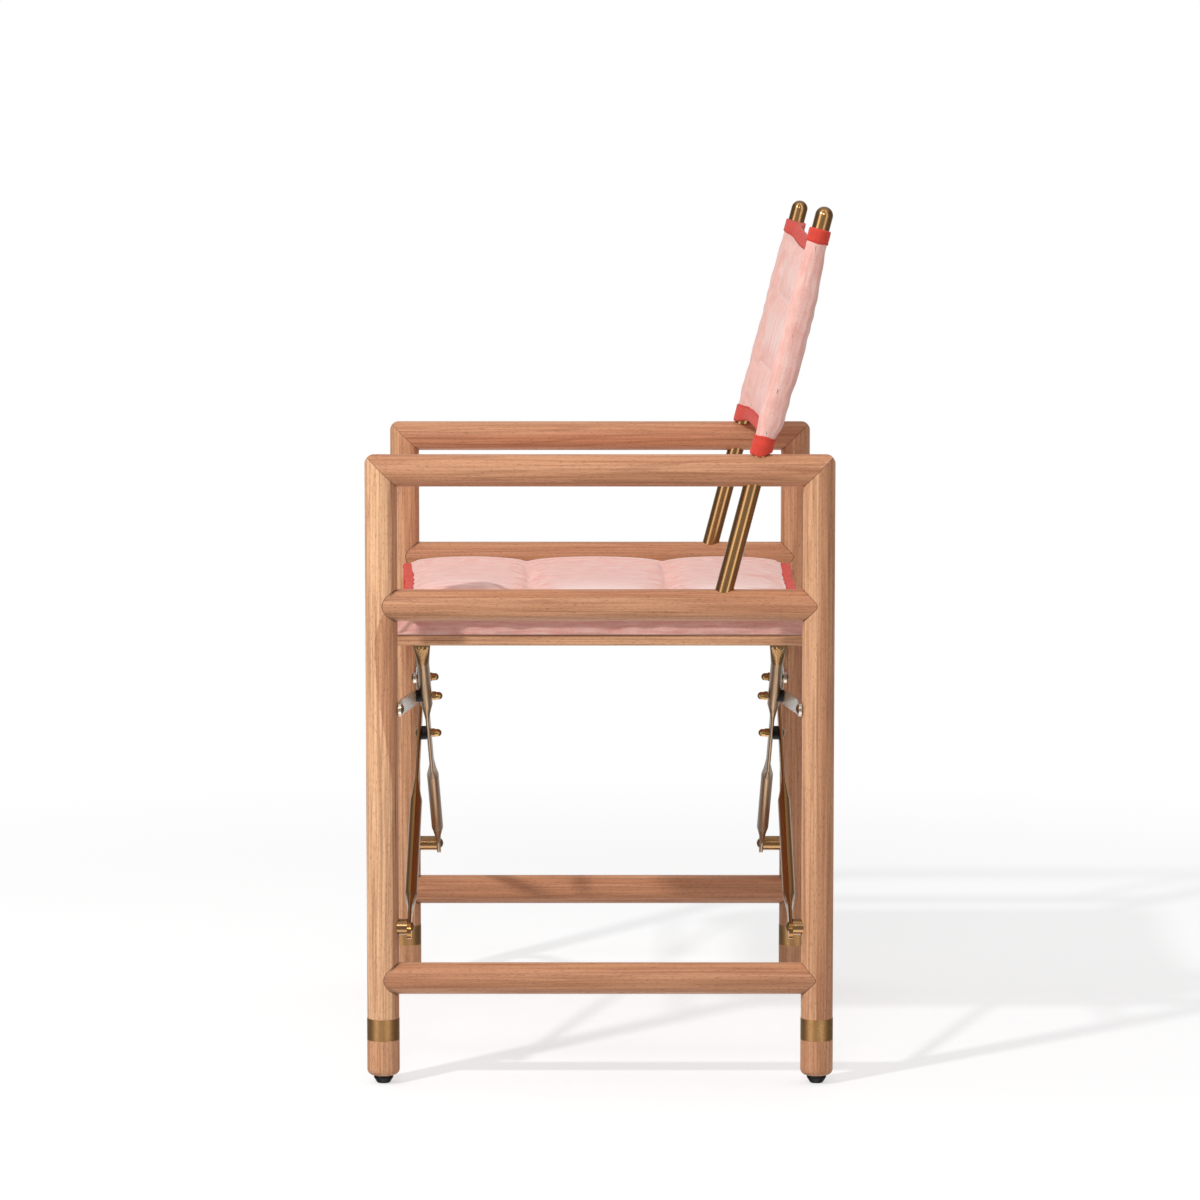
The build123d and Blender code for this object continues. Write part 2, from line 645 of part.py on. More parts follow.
def seat_pad(side):
    """Half of the quilted seat, from the middle to the batten."""
    at_tufts = (SEAT_SEAM, SEAT_TUFT, SEAT_TUFT)
    between = (SEAT_SEAM, SEAT_CROWN, SEAT_BASE)
    stations = [(x, at_tufts if tuft else between) for x, tuft in quilt_rows(hinge_x)]
    stations.append((hinge_x - SEAT_NOSE, (SEAT_NOSE, NOSE_CROWN, SEAT_NOSE + CLOTH_GAP)))
    stations.append((hinge_x + SEAT_NOSE - CLOTH_GAP, (SEAT_EDGE, NOSE_CROWN, SEAT_NOSE - CLOTH_GAP)))
    sections = []
    for x, form in stations:
        front, rear = seat_edges(x)
        stops = padded_stops(front + SEAT_BINDING, rear - SEAT_BINDING, SEAT_ROWS)
        sections.append(quilt_section(seat_plane(side, x), stops, SEAT_EDGE, *form))
    return loft(sections)


def seat_binding(side):
    """The tape along the front and rear edges of half the seat."""
    half = SEAT_EDGE + BINDING_PROUD
    stations = [x for x, tuft in quilt_rows(hinge_x)] + [hinge_x]
    tapes = []
    for edge in (0, 1):
        sections = []
        for x in stations:
            fold = seat_edges(x)[edge]
            inside = fold + (SEAT_BINDING - HALF_GAP) * (1 if edge == 0 else -1)
            sections.append(binding_section(seat_plane(side, x), fold, inside, half))
        tapes.append(loft(sections))
    return tapes


def back_plane(side, x):
    """Plane across the back, with its x up along the posts and its y to the front, where the cloth sags."""
    sag = bowed(x, back_reach, 0, BACK_SAG)
    y, z = post_point(0)
    origin = (side * x, y + sag * cos(tilt), z - sag * sin(tilt))
    return Plane(origin=origin, x_dir=post_way, z_dir=(1, 0, 0))


def back_edges(x):
    """Lower and upper edge of the back, along the posts."""
    low = bowed(x, back_reach, sleeve_bottom, sleeve_bottom + BACK_BOTTOM_RISE)
    return low, bowed(x, back_reach, sleeve_top, sleeve_top - BACK_TOP_DIP)


def sleeve(side, start, end, wall):
    """A tube of cloth round a post."""
    axis = post_axis(side * frame_x, start, end)
    return rod(*axis, sleeve_bore + 2 * wall) - rod(*axis, sleeve_bore)


def post_room(side):
    """The space that the back leaves for its post."""
    return rod(*post_axis(side * frame_x, 0, sleeve_top + POST), sleeve_bore)


def back_panel(side):
    """Half of the quilted back with its sleeve, from the middle to the post."""
    at_tufts = (BACK_SEAM, BACK_TUFT, BACK_TUFT)
    between = (BACK_SEAM, BACK_CROWN, BACK_BASE)
    stations = [(x, at_tufts if tuft else between) for x, tuft in quilt_rows(back_reach)]
    stations.append((back_reach, (BACK_EDGE, BACK_SIDE, BACK_SIDE)))
    sections = []
    for x, form in stations:
        low, high = back_edges(x)
        stops = padded_stops(low + BACK_BINDING, high - BACK_BINDING, BACK_ROWS)
        sections.append(quilt_section(back_plane(side, x), stops, BACK_EDGE, *form))
    ends = (sleeve_bottom + BACK_BINDING + CLOTH_GAP, sleeve_top - BACK_BINDING - CLOTH_GAP)
    tube = sleeve(side, *ends, SLEEVE_WALL)
    return loft(sections) + tube - post_room(side)


def back_binding(side):
    """The tape along both edges of half the back, with the rings that it makes round the post."""
    half = BACK_EDGE + BINDING_PROUD
    tape_wide = BACK_BINDING - HALF_GAP
    stations = [x for x, tuft in quilt_rows(back_reach)] + [back_reach]
    rings = (
        (sleeve_bottom, sleeve_bottom + tape_wide),
        (sleeve_top - tape_wide, sleeve_top),
    )
    tapes = []
    for edge, ring in enumerate(rings):
        sections = []
        for x in stations:
            fold = back_edges(x)[edge]
            inside = fold + tape_wide * (1 if edge == 0 else -1)
            sections.append(binding_section(back_plane(side, x), fold, inside, half))
        tape = loft(sections) + sleeve(side, *ring, SLEEVE_WALL + BINDING_PROUD)
        tapes.append(tape - post_room(side))
    return tapes


# The whole chair, piece by piece
def side_pieces(name, side, bar_y):
    """Everything that stays with one side frame."""
    x = side * frame_x
    ends = (-1, 1)
    rail = cross_rail(x, SEAT_RAIL_HEIGHT)
    return {
        f"{name}_front_leg": leg(x, -1),
        f"{name}_rear_leg": leg(x, 1),
        f"{name}_arm_rail": arm_rail(x),
        f"{name}_seat_rail": rail - rod(*post_axis(x, post_foot, 0), POST + 2 * POST_GAP),
        f"{name}_stretcher": cross_rail(x, STRETCHER_HEIGHT),
        f"{name}_dowels": [rod(start, end, DOWEL) for start, end in dowel_axes(x)],
        f"{name}_collars": [collar(x, end * leg_y) for end in ends],
        f"{name}_foot_tips": [foot_tip(x, end * leg_y) for end in ends],
        f"{name}_foot_glides": [foot_glide(x, end * leg_y) for end in ends],
        f"{name}_back_post": back_post(x),
        f"{name}_post_tip": post_tip(x),
        f"{name}_pivot_stubs": [pivot_stub(x, end, bar_y) for end in ends],
        f"{name}_pivot_screws": [pivot_screw(x, end, bar_y) for end in ends],
        f"{name}_link_screws": [link_screw(x, end) for end in ends],
        f"{name}_links": [link(side, end) for end in ends],
        f"{name}_link_bolts": [link_bolt(side, end) for end in ends],
        f"{name}_link_nuts": [link_nut(side, end) for end in ends],
        f"{name}_batten": batten(side),
        f"{name}_batten_screws": [batten_screw(side, y) for y in spade_places(side)],
        f"{name}_batten_pocket": batten_pocket(side),
        f"seat_pad_{name}": seat_pad(side),
        f"seat_binding_{name}": seat_binding(side),
        f"back_panel_{name}": back_panel(side),
        f"back_binding_{name}": back_binding(side),
    }


def scissor_pieces():
    """The four bars and the pivots where they cross."""
    bolts, spacers, nuts = zip(*[centre_pivot(end) for end in (-1, 1)])
    return {
        "outer_front_bar": scissor_bar(1, -outer_bar),
        "outer_rear_bar": scissor_bar(1, outer_bar),
        "inner_front_bar": scissor_bar(-1, -inner_bar),
        "inner_rear_bar": scissor_bar(-1, inner_bar),
        "centre_bolts": bolts,
        "centre_spacers": spacers,
        "centre_nuts": nuts,
        "left_link_washers": [link_washer(end) for end in (-1, 1)],
    }


def chair():
    pieces = side_pieces("left", 1, outer_bar)
    pieces |= side_pieces("right", -1, inner_bar)
    return pieces | scissor_pieces()


os.makedirs("parts", exist_ok=True)
for node, shape in chair().items():
    solids = shape if isinstance(shape, (list, tuple)) else [shape]
    export_step(Compound(children=[s for shape in solids for s in shape.solids()]), f"parts/{node}.step")
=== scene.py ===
import json
from math import atan2, cos, pi, radians, sin

import bmesh
import bpy
import numpy as np
from bpy.props import FloatProperty, FloatVectorProperty, IntProperty, PointerProperty
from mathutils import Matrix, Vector


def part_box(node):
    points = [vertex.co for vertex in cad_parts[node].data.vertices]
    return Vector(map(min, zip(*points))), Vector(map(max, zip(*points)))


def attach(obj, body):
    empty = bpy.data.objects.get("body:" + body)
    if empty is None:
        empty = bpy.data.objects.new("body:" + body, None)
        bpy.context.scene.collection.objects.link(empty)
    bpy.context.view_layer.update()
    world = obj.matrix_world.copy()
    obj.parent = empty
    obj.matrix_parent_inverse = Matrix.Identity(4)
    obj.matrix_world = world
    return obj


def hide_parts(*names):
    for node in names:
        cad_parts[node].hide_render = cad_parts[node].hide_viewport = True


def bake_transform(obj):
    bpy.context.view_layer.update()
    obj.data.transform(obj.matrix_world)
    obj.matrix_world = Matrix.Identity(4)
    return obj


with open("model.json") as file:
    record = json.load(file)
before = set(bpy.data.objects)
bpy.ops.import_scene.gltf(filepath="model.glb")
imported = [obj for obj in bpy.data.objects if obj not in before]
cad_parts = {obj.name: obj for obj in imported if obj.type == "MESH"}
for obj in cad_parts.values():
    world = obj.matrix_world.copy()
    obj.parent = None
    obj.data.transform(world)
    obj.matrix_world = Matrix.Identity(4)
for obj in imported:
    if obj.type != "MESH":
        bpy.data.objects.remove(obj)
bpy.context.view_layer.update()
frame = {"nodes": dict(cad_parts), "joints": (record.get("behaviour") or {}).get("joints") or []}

bl_info = {
    "name": "Folding Chair Finish",
    "version": (1, 0, 0),
    "blender": (4, 5, 0),
    "location": "View3D > Sidebar > Chair",
    "description": "Dresses the frame of a folding chair with teak, bronze, quilted cloth and stitching",
    "category": "Object",
}

# Places on the frame, in metres: X to the sitter's left, Y to the rear, Z up
JOINTS = {joint["name"]: joint for joint in frame["joints"]}
POST_FOOT = Vector(JOINTS["back_left_post"]["pos_m"])
POST_WAY = Vector(JOINTS["back_left_post"]["axis"]).normalized()
BACK_REAR = Vector((0, POST_WAY.z, -POST_WAY.y))
POST_TILT = atan2(POST_WAY.y, POST_WAY.z)
FRAME_X = POST_FOOT.x
ARM_Z = POST_FOOT.z
LEG_LOW, LEG_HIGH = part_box("left_rear_leg")
LEG_Y = (LEG_LOW.y + LEG_HIGH.y) / 2
RAIL_LOW, RAIL_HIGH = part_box("left_seat_rail")
RAIL_Z = (RAIL_LOW.z + RAIL_HIGH.z) / 2
RAIL_RADIUS = (RAIL_HIGH.z - RAIL_LOW.z) / 2
STRETCHER_LOW, STRETCHER_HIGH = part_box("left_stretcher")
STRETCHER_Z = (STRETCHER_LOW.z + STRETCHER_HIGH.z) / 2
BATTEN_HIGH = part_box("left_batten")[1]
POCKET_LOW, POCKET_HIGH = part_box("left_batten_pocket")
HINGE_X = JOINTS["seat_left_edge"]["pos_m"][0]
SEAT_MIDDLE_Z = JOINTS["seat_middle"]["pos_m"][2]
SEAT_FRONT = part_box("seat_binding_left")[0].y
SEAT_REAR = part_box("seat_binding_left")[1].y
CROSSING_Z = JOINTS["scissor_cross"]["pos_m"][2]
PIVOT_Z = JOINTS["fold"]["pos_m"][2]
BAR_ANGLE = atan2(CROSSING_Z - PIVOT_Z, FRAME_X)
SIDES = ("left", "right")


def along_post(node):
    """Lowest and highest place of a node along the back post, from the middle of the arm rail."""
    places = [(vertex.co - POST_FOOT).dot(POST_WAY) for vertex in frame["nodes"][node].data.vertices]
    return min(places), max(places)


SLEEVE_BOTTOM, SLEEVE_TOP = along_post("back_binding_left")

# Turns that lay a grain along Z, along Y or along X
UPRIGHT = (0, 0, 0)
LEVEL = (pi / 2, 0, 0)
ACROSS = (0, pi / 2, 0)

# Wood joints and heartwood, lengths in metres
NOSE_CURVE = 52.0  # at a front leg a rail's end is drawn back by this much times its height squared
BLUNT_GAP = 0.0013  # and ends this far from the leg's axis
POINT_GAP = 0.0027  # at a rear leg it is pointed, and ends this far from the leg's axis
HEART_START = 0.0035  # where the heartwood begins to the rear of a leg's axis
HEART_SHIFT = 0.0060  # further to the rear on the front legs, and less far on the rear ones
HEART_EDGE = 0.0014  # width of its edge
HEART_SWAY = 0.0018  # how far that edge wanders
RIGHT_HEART = 0.6  # share of heartwood on the whole of the right legs
REAR_HEART = 0.35  # and on the whole of the rear ones
BATTEN_HEART = 0.15  # share of heartwood in the battens
TIP_HEART = 0.7  # and in the foot tips
KNOT_HEIGHT = 0.443  # where the heartwood of the front legs bends round a knot
KNOT_ABOVE = 0.060  # length of that bend above the knot
KNOT_BELOW = 0.170  # and below it
KNOT_DRAW = 0.0165  # how far the bend comes forward
GLUE_SHARE = 0.82  # strength of the dark line at a joint

# Roughness of some metal pieces beyond the mean
COLLAR_MATT = 0.26
OUTER_MATT = -0.06
INNER_MATT = 0.08

# Depth of the finest relief of each finish, in metres
TEAK_RELIEF = 0.00022
METAL_RELIEF = 0.00006
NYLON_RELIEF = 0.00008
BEECH_RELIEF = 0.00015
CLOTH_RELIEF = 0.00025
TAPE_RELIEF = 0.00022
THREAD_RELIEF = 0.0001
RIB_PITCH = 0.0011  # distance between the ribs of the tape

# Small fixed sizes of the cloth work, in metres
TUCK = 0.004  # how far a pad reaches under its tape
SEAT_LIFT = 0.0043  # middle of the seat's thickness above the batten
NOSE_LAP = 0.003  # how far the seat reaches under the pocket's top
LAP_THIN = 0.0008  # how much lower its upper side is there
SIDE_RUN = 0.20  # share of the seat's half width in which it flattens towards a batten
SIDE_BASE = 0.0022  # depth of the seat's underside at a batten
EDGE_RUN = 0.03  # length in which the seat's edges pass into its cells
EDGE_SHARE = 0.8  # thickness of a pad under its tape, as a share of the bound edge
CUT_SHARE = 0.8  # how much of the swelling is left out of the cut shape
SEAM_SHARE = 0.6  # points within this share of the grid lie on a seam
SEAM_FLAT = 0.004  # width beside a seam that stays flat
PILLOW_POWER = 0.4  # lower is a fuller cell
TUFT_WIDE = 0.011  # radius of the dip at a tuft
TUFT_DEEP = 0.0012  # depth of that dip
TUFT_SHARE = 0.25  # share of the crown that a tuft takes away
FULL_FRONT = 0.0100  # how much fuller the left front cell of the seat is
FULL_X = 0.128  # where it is fullest
FULL_WIDE = 0.045  # and how wide that is
CHANNEL_DRAW = 0.0020  # how much deeper the thread draws the channels of the seat
CHANNEL_WIDE = 0.0045  # half width of such a channel
TAPE_OVER = 0.0003  # how much thicker a tape is than the edge in it
BACK_TAPE_OVER = 0.0005  # the same on the back
RING_OVER = 0.0007  # and round its sleeves
TAPE_POINTS = 93  # points along one of the seat's tapes
TAPE_THIN = 0.0015  # half thickness of a tape where it lies flat on the batten
SEWN_IN = 0.002  # distance of the stitches from a tape's edge
STITCH_OVER = 0.0002  # height of the stitches above a tape
STITCH_DRAW = 0.4 * CHANNEL_DRAW  # how deep the stitches of a channel lie
POCKET_GAP = 0.0004  # play of the cloth over a batten
POCKET_HEM = 0.003  # how far that cloth turns into the batten's groove
POCKET_BOW = 0.0008  # how far it bows out below its roll
POCKET_GRID = 0.0035  # distance between its rows of points
POCKET_RUN = 0.075  # length of cloth round a batten
POCKET_POINTS = 60  # points in a row round a batten
POCKET_SLACK = ((0.0007, 0.11, 0.8), (0.0004, 0.043, 2.2))  # height, length and seed of its waves
POCKET_FOLD = ((0.0016, 0.0, 0.0035), (-0.0010, 0.006, 0.004))  # height, place and width of a ridge and a dip
REAR_SLANT = 0.0085  # how far the cloth over the left batten reaches further to the rear on its outer face
SLANT_RUN = 0.012  # height in which it does so
ROLL_OUT = 0.013  # how far the padding stands out over the outer face of a batten
ROLL_DROP = 0.0115  # how far that roll reaches below the batten's top
ROLL_FOOT = 0.005  # height of its underside
ROLL_RUN = 0.03  # length in which it fades at the front and the rear
SLEEVE_RUN = 0.060  # length in which a sleeve narrows to the panel
SLEEVE_FLARE = 0.0034  # how far a sleeve stands out to the rear above its lower tape
FLARE_RUN = 0.045  # height in which that fades
SLEEVE_SIDE = 0.15  # share of a sleeve's slack that also stands out sideways
SLEEVE_HELD = 0.022  # width beside a post that does not swell
RIDGE_ANGLE = radians(52)  # seam of a sleeve, round its post from the outer side to the rear
RIDGE_TALL = 0.0006  # height of that seam's ridge
RIDGE_SHAPE = ((1.0, 0.0, 0.17), (-0.3, -0.3, 0.2))  # height, place and width of the ridge and the dip by it
SLEEVE_DRAPE = ((0.00042, 0.061, 1.9), (0.0003, 0.023, 0.6))  # height, length and seed of a sleeve's waves
RING_DROOP = 0.0066  # how far the lower tape hangs onto the arm beside a post
ARC_STEPS = 12  # columns of points in a quarter of a sleeve
RIPPLE_DRIFT = ((1.6, 3.7, 2.1), (1.1, 7.3, 0.7))  # height, length and start of waves that shift a ripple
PADDING = {
    "quality": 6,
    "mass": 0.2,
    "tension_stiffness": 18,
    "compression_stiffness": 8,
    "shear_stiffness": 4,
    "bending_stiffness": 0.05,
    "shrink_min": -0.035,
    "use_pressure": True,
}


def srgb(red, green, blue):
    """Linear colour from the 0 to 255 values that a colour picker shows."""
    shares = [value / 255 for value in (red, green, blue)]
    return tuple(s / 12.92 if s <= 0.04045 else ((s + 0.055) / 1.055) ** 2.4 for s in shares)


# Linear colours of wear, grain and joints, with the painted shade of the tape's grooves and the painted sheen
# of the cloth
GLUE = (0.045, 0.022, 0.012)
PATINA = (0.22, 0.13, 0.065)
BRUSHING = (0.10, 0.06, 0.03)
SCUFF = (0.05, 0.05, 0.05)
FLECK = (0.30, 0.16, 0.07)
BLACK = (0, 0, 0)
# painted sheen: pale colour of the cloth where it is seen edge on
SHEEN_TINT = srgb(255, 233, 227)
TAPE_FADED = srgb(176, 46, 36)
# painted shade in the grooves between the tape's ribs
TAPE_GROOVE_SHADE = srgb(140, 34, 28)


def number_property(label, words, value, **more):
    return FloatProperty(name=label, description=words, default=value, **more)


def length_property(label, words, value):
    return number_property(label, words, value, unit="LENGTH", precision=4)


def vector_property(label, words, value, **more):
    return FloatVectorProperty(name=label, description=words, default=value, size=len(value), **more)


def place_property(label, words, value):
    return vector_property(label, words, value, subtype="TRANSLATION")


def colour_property(label, words, value):
    return vector_property(label, words, value, subtype="COLOR", min=0, max=1)


class ChairWood(bpy.types.PropertyGroup):
    light: colour_property("Light", "Palest wood between the growth lines", srgb(242, 190, 146))
    middle: colour_property("Middle", "Heartwood", srgb(200, 140, 102))
    dark: colour_property("Dark", "Growth lines, pores and streaks", srgb(140, 84, 54))
    beech: colour_property("Dowels", "Pale wood of the hidden dowels", srgb(206, 172, 128))
    joint_line: length_property("Joint line", "Width of the dark line at a glued joint", 0.0007)


class ChairMetal(bpy.types.PropertyGroup):
    brass: colour_property("Brass", "Posts and collars", srgb(172, 130, 84))
    bronze: colour_property("Bronze", "Inner scissor bars and stubs", srgb(158, 122, 82))
    golden: colour_property("Golden bronze", "Outer scissor bars", srgb(160, 110, 58))
    fastener: colour_property("Fasteners", "Screws, bolts and nuts", srgb(176, 138, 88))
    link: colour_property("Links", "Bright faces of the links", srgb(206, 198, 188))
    nylon: colour_property("Nylon", "Glides, spacers and washers", srgb(13, 13, 14))
    polish: number_property("Roughness", "Mean roughness of the metal", 0.20, min=0, max=1)


class ChairCloth(bpy.types.PropertyGroup):
    pale: colour_property("Pale thread", "Lightest thread of the woven cloth", srgb(250, 219, 209))
    deep: colour_property("Deep thread", "Darkest thread of the woven cloth", srgb(226, 154, 141))
    tape: colour_property("Tape", "Bound edges", srgb(224, 74, 57))
    thread: colour_property("Thread", "Sewing thread of the channels", srgb(232, 180, 170))
    tape_thread: colour_property("Tape thread", "Sewing thread of the tapes", srgb(196, 58, 46))
    thread_pitch: length_property("Thread pitch", "Distance between woven threads", 0.0009)
    grid: length_property("Cloth grid", "Size of the cloth's mesh before it is smoothed", 0.0045)
    rear_tape: length_property("Rear tape", "Width of the seat's rear tape", 0.0130)
    seat_tape: length_property("Seat tape", "Width of the seat's front tape", 0.011)
    seat_front_dip: length_property("Front dip", "How far the front edge is drawn in at the middle", 0.009)
    seat_rear_dip: length_property("Rear dip", "How far the rear edge is drawn in at the middle", 0.001)
    seat_crown: length_property("Seat crown", "Height of the cells above the middle of the seat", 0.0094)
    seat_base: length_property("Seat base", "Depth of the cells below the middle of the seat", 0.0080)
    seat_seam: length_property("Seat seam", "Half thickness at a sewn channel", 0.0022)
    seat_rows: vector_property("Seat channels", "Channels as shares of the padded depth", (0.31, 0.682))
    tuft_pitch: length_property("Tuft pitch", "Distance between the tufts along a channel", 0.105)
    back_tape: length_property("Back tape", "Width of the back's bound edges", 0.015)
    back_top_dip: length_property("Top dip", "How far the upper edge hangs at the middle", 0.012)
    back_bottom_rise: length_property("Bottom rise", "How far the lower edge rises at the middle", 0.004)
    back_sag: length_property("Back sag", "How far the back hangs to the rear at the middle", 0.006)
    back_crown: length_property("Back crown", "Swelling of the cells to the front", 0.0066)
    back_base: length_property("Back base", "Swelling of the cells to the rear", 0.0070)
    back_seam: length_property("Back seam", "Half thickness at a sewn channel of the back", 0.0028)
    back_rows: vector_property("Back channels", "Channels as shares of the padded height", (0.265, 0.68))
    sleeve_radius: length_property("Sleeve", "Outer radius of a sleeve at its ends", 0.0104)
    sleeve_bulge: length_property("Sleeve bulge", "Slack of a sleeve to the rear at mid height", 0.0055)
    edge_half: length_property("Edge", "Half thickness of a bound edge", 0.0026)
    swell_reach: length_property("Swell", "Most that the padding may swell past its cut shape", 0.0035)
    pressure: number_property("Pressure", "Air pressure that swells the cells", 4.0)
    swell_steps: IntProperty(name="Steps", description="Steps of the swelling", default=20)
    stitch_pitch: length_property("Stitch pitch", "From one stitch to the next", 0.0036)
    stitch_long: length_property("Stitch length", "Length of one stitch", 0.0026)
    stitch_thick: length_property("Stitch thickness", "Thickness of the sewing thread", 0.0006)


class ChairStage(bpy.types.PropertyGroup):
    lens: number_property("Lens", "Focal length in millimetres", 133.29)
    sensor: number_property("Sensor", "Width of the sensor in millimetres", 36)
    camera_place: place_property("Camera", "Place of the camera", (4.6555, 0.0, 0.9287))
    camera_pitch: number_property("Pitch", "How far the camera looks down", radians(5.763), subtype="ANGLE")
    target: place_property("Target", "What the lamps shine at", (0, 0, 0.45))
    key_place: place_property("Key light", "Place of the main lamp", (2.07, -1.82, 2.51))
    key_size: length_property("Key size", "Width of the main lamp", 0.20)
    key_power: number_property("Key power", "Power of the main lamp", 64.0, unit="POWER")
    fill_place: place_property("Fill light", "Place of the front lamp", (3.9, -0.3, 2.3))
    fill_size: length_property("Fill size", "Width of the front lamp", 1.0)
    fill_power: number_property("Fill power", "Power of the front lamp", 27.0, unit="POWER")
    room: number_property("Room", "Light from the dim side behind the camera", 0.20)
    sweep: number_property("Sweep", "Light from the white backdrop", 0.85)
    floor_reach: length_property("Floor", "Half width of the floor", 30.0)


def settings(group):
    return getattr(bpy.context.scene, "chair_" + group)


# Node trees
class Tree:
    """Adds nodes to one node tree and links them."""

    def __init__(self, tree):
        self.tree = tree

    def feed(self, socket, value):
        if isinstance(value, bpy.types.NodeSocket):
            self.tree.links.new(value, socket)
        elif socket.type == "RGBA":
            socket.default_value = (*value[:3], 1)
        else:
            socket.default_value = value

    def node(self, kind, feeds=None, **choices):
        """The outputs of a new node, with values or links fed into its sockets by name or number."""
        made = self.tree.nodes.new(kind if "Node" in kind else "ShaderNode" + kind)
        for name, value in choices.items():
            setattr(made, name, value)
        for socket, value in (feeds or {}).items():
            self.feed(made.inputs[socket], value)
        return made.outputs

    def math(self, operation, *values):
        return self.node("Math", dict(enumerate(values)), operation=operation)[0]

    def plus(self, first, second):
        return self.math("ADD", first, second)

    def minus(self, first, second):
        return self.math("SUBTRACT", first, second)

    def times(self, first, second):
        return self.math("MULTIPLY", first, second)

    def size(self, value):
        return self.math("ABSOLUTE", value)

    def more(self, value, limit):
        return self.math("GREATER_THAN", value, limit)

    def mix(self, share, first, second, blend="MIX"):
        return self.node("Mix", {0: share, 6: first, 7: second}, data_type="RGBA", blend_type=blend)[2]

    def scaled(self, vector, scale=(1, 1, 1), turn=UPRIGHT):
        return self.node("Mapping", {"Vector": vector, "Rotation": turn, "Scale": scale})[0]

    def noise(self, vector, across, along, detail=2.0, warp=0.0):
        """Noise whose spots are long in Z: across and along are spots in a metre."""
        spots = self.scaled(vector, (across, across, along))
        return self.node("TexNoise", {"Vector": spots, "Scale": 1.0, "Detail": detail, "Distortion": warp})[0]

    def span(self, value, low, high, to_low=0.0, to_high=1.0, curve="LINEAR"):
        """A value from low to high, carried over to the range from to_low to to_high."""
        feeds = dict(enumerate((value, low, high, to_low, to_high)))
        return self.node("MapRange", feeds, interpolation_type=curve)[0]

    def ease(self, value, low, high, to_low=0.0, to_high=1.0):
        """The same with a soft start and end."""
        return self.span(value, low, high, to_low, to_high, "SMOOTHSTEP")

    def parts(self, vector):
        return self.node("SeparateXYZ", {0: vector})

    def joined(self, x=0.0, y=0.0, z=0.0):
        return self.node("CombineXYZ", {"X": x, "Y": y, "Z": z})[0]

    def bump(self, height, distance, strength, normal=None):
        feeds = {"Strength": strength, "Distance": distance, "Height": height}
        if normal is not None:
            feeds["Normal"] = normal
        return self.node("Bump", feeds)[0]

    def mixed_shader(self, share, first, second):
        return self.node("MixShader", {0: share, 1: first, 2: second})[0]

    def group(self, maker, **inputs):
        """The outputs of that maker's shader group, which is built once."""
        made = bpy.data.node_groups.get(maker.__name__) or maker()
        return self.node("Group", inputs, node_tree=made)

    def put_out(self, **values):
        """Links what a group puts out, and gives the finished group."""
        ends = self.tree.nodes.new("NodeGroupOutput").inputs
        for name, value in values.items():
            self.feed(ends[name], value)
        return self.tree


def new_group(name, inputs, outputs, kind="ShaderNodeTree"):
    """The helper of an empty node group with those sockets, and what is given to it."""
    made = bpy.data.node_groups.new(name, kind)
    for way, sockets in (("INPUT", inputs), ("OUTPUT", outputs)):
        for label, sort in sockets.items():
            made.interface.new_socket(name=label, in_out=way, socket_type="NodeSocket" + sort)
    return Tree(made), made.nodes.new("NodeGroupInput").outputs


def teak_figure():
    """Growth lines, fibres, pores and dark streaks of oiled teak, with the grain along the vector's Z."""
    tree, given = new_group(
        "teak_figure",
        {"Vector": "Vector", "Heart": "Float", "Light": "Color", "Middle": "Color", "Dark": "Color"},
        {"Color": "Color", "Roughness": "Float", "Height": "Float"},
    )
    vector = given["Vector"]
    dark = given["Dark"]
    board = tree.ease(tree.noise(vector, 24, 1.1, 2, 0.2), 0.46, 0.54, 0.0, 0.22)
    heart = tree.plus(tree.times(given["Heart"], 0.8), board)
    figure = tree.noise(vector, 42, 1.2, 2, 0.3)
    rings = tree.ease(tree.math("SINE", tree.times(figure, 75.0)), 0.35, 0.98)
    fibre = tree.noise(vector, 430, 8, 4)
    pores = tree.span(tree.noise(vector, 1200, 220, 1), 0.57, 0.70)
    streak = tree.ease(tree.noise(vector, 105, 3.2, 2), 0.68, 0.75)
    colour = tree.mix(heart, given["Light"], given["Middle"])
    colour = tree.mix(tree.times(rings, 0.27), colour, dark)
    colour = tree.mix(tree.span(fibre, 0.40, 0.66, 0.0, 0.46), colour, dark)
    for marks, strength in ((pores, 0.36), (streak, 0.55)):
        colour = tree.mix(tree.times(marks, strength), colour, dark, "MULTIPLY")
    relief = tree.plus(tree.times(fibre, 0.5), tree.times(rings, 0.25))
    return tree.put_out(
        Color=colour,
        Roughness=tree.span(fibre, 0.3, 0.8, 0.42, 0.60),
        Height=tree.minus(relief, pores),
    )


def leg_heart():
    """Rear part of each leg where its darker heartwood begins, along a wavy line."""
    tree, given = new_group("leg_heart", {"Vector": "Vector"}, {"Heart": "Float"})
    x, y, z = tree.parts(given["Vector"])
    end = tree.math("SIGN", y)
    from_axis = tree.minus(y, tree.times(end, LEG_Y))
    start = tree.minus(HEART_START, tree.times(end, HEART_SHIFT))
    above = tree.ease(z, KNOT_HEIGHT, KNOT_HEIGHT + KNOT_ABOVE, KNOT_DRAW, 0.0)
    below = tree.ease(z, KNOT_HEIGHT, KNOT_HEIGHT - KNOT_BELOW, KNOT_DRAW, 0.0)
    bend = tree.times(tree.math("MINIMUM", above, below), tree.math("LESS_THAN", y, 0.0))
    sway = tree.span(tree.noise(given["Vector"], 20, 5, 3), 0.3, 0.7, -HEART_SWAY, HEART_SWAY)
    edge = tree.minus(from_axis, tree.plus(tree.minus(start, bend), sway))
    right = tree.times(tree.math("LESS_THAN", x, 0.0), RIGHT_HEART)
    rest = tree.math("MAXIMUM", right, tree.times(tree.more(y, 0.0), REAR_HEART))
    return tree.put_out(Heart=tree.math("MAXIMUM", tree.ease(edge, 0.0, HEART_EDGE), rest))


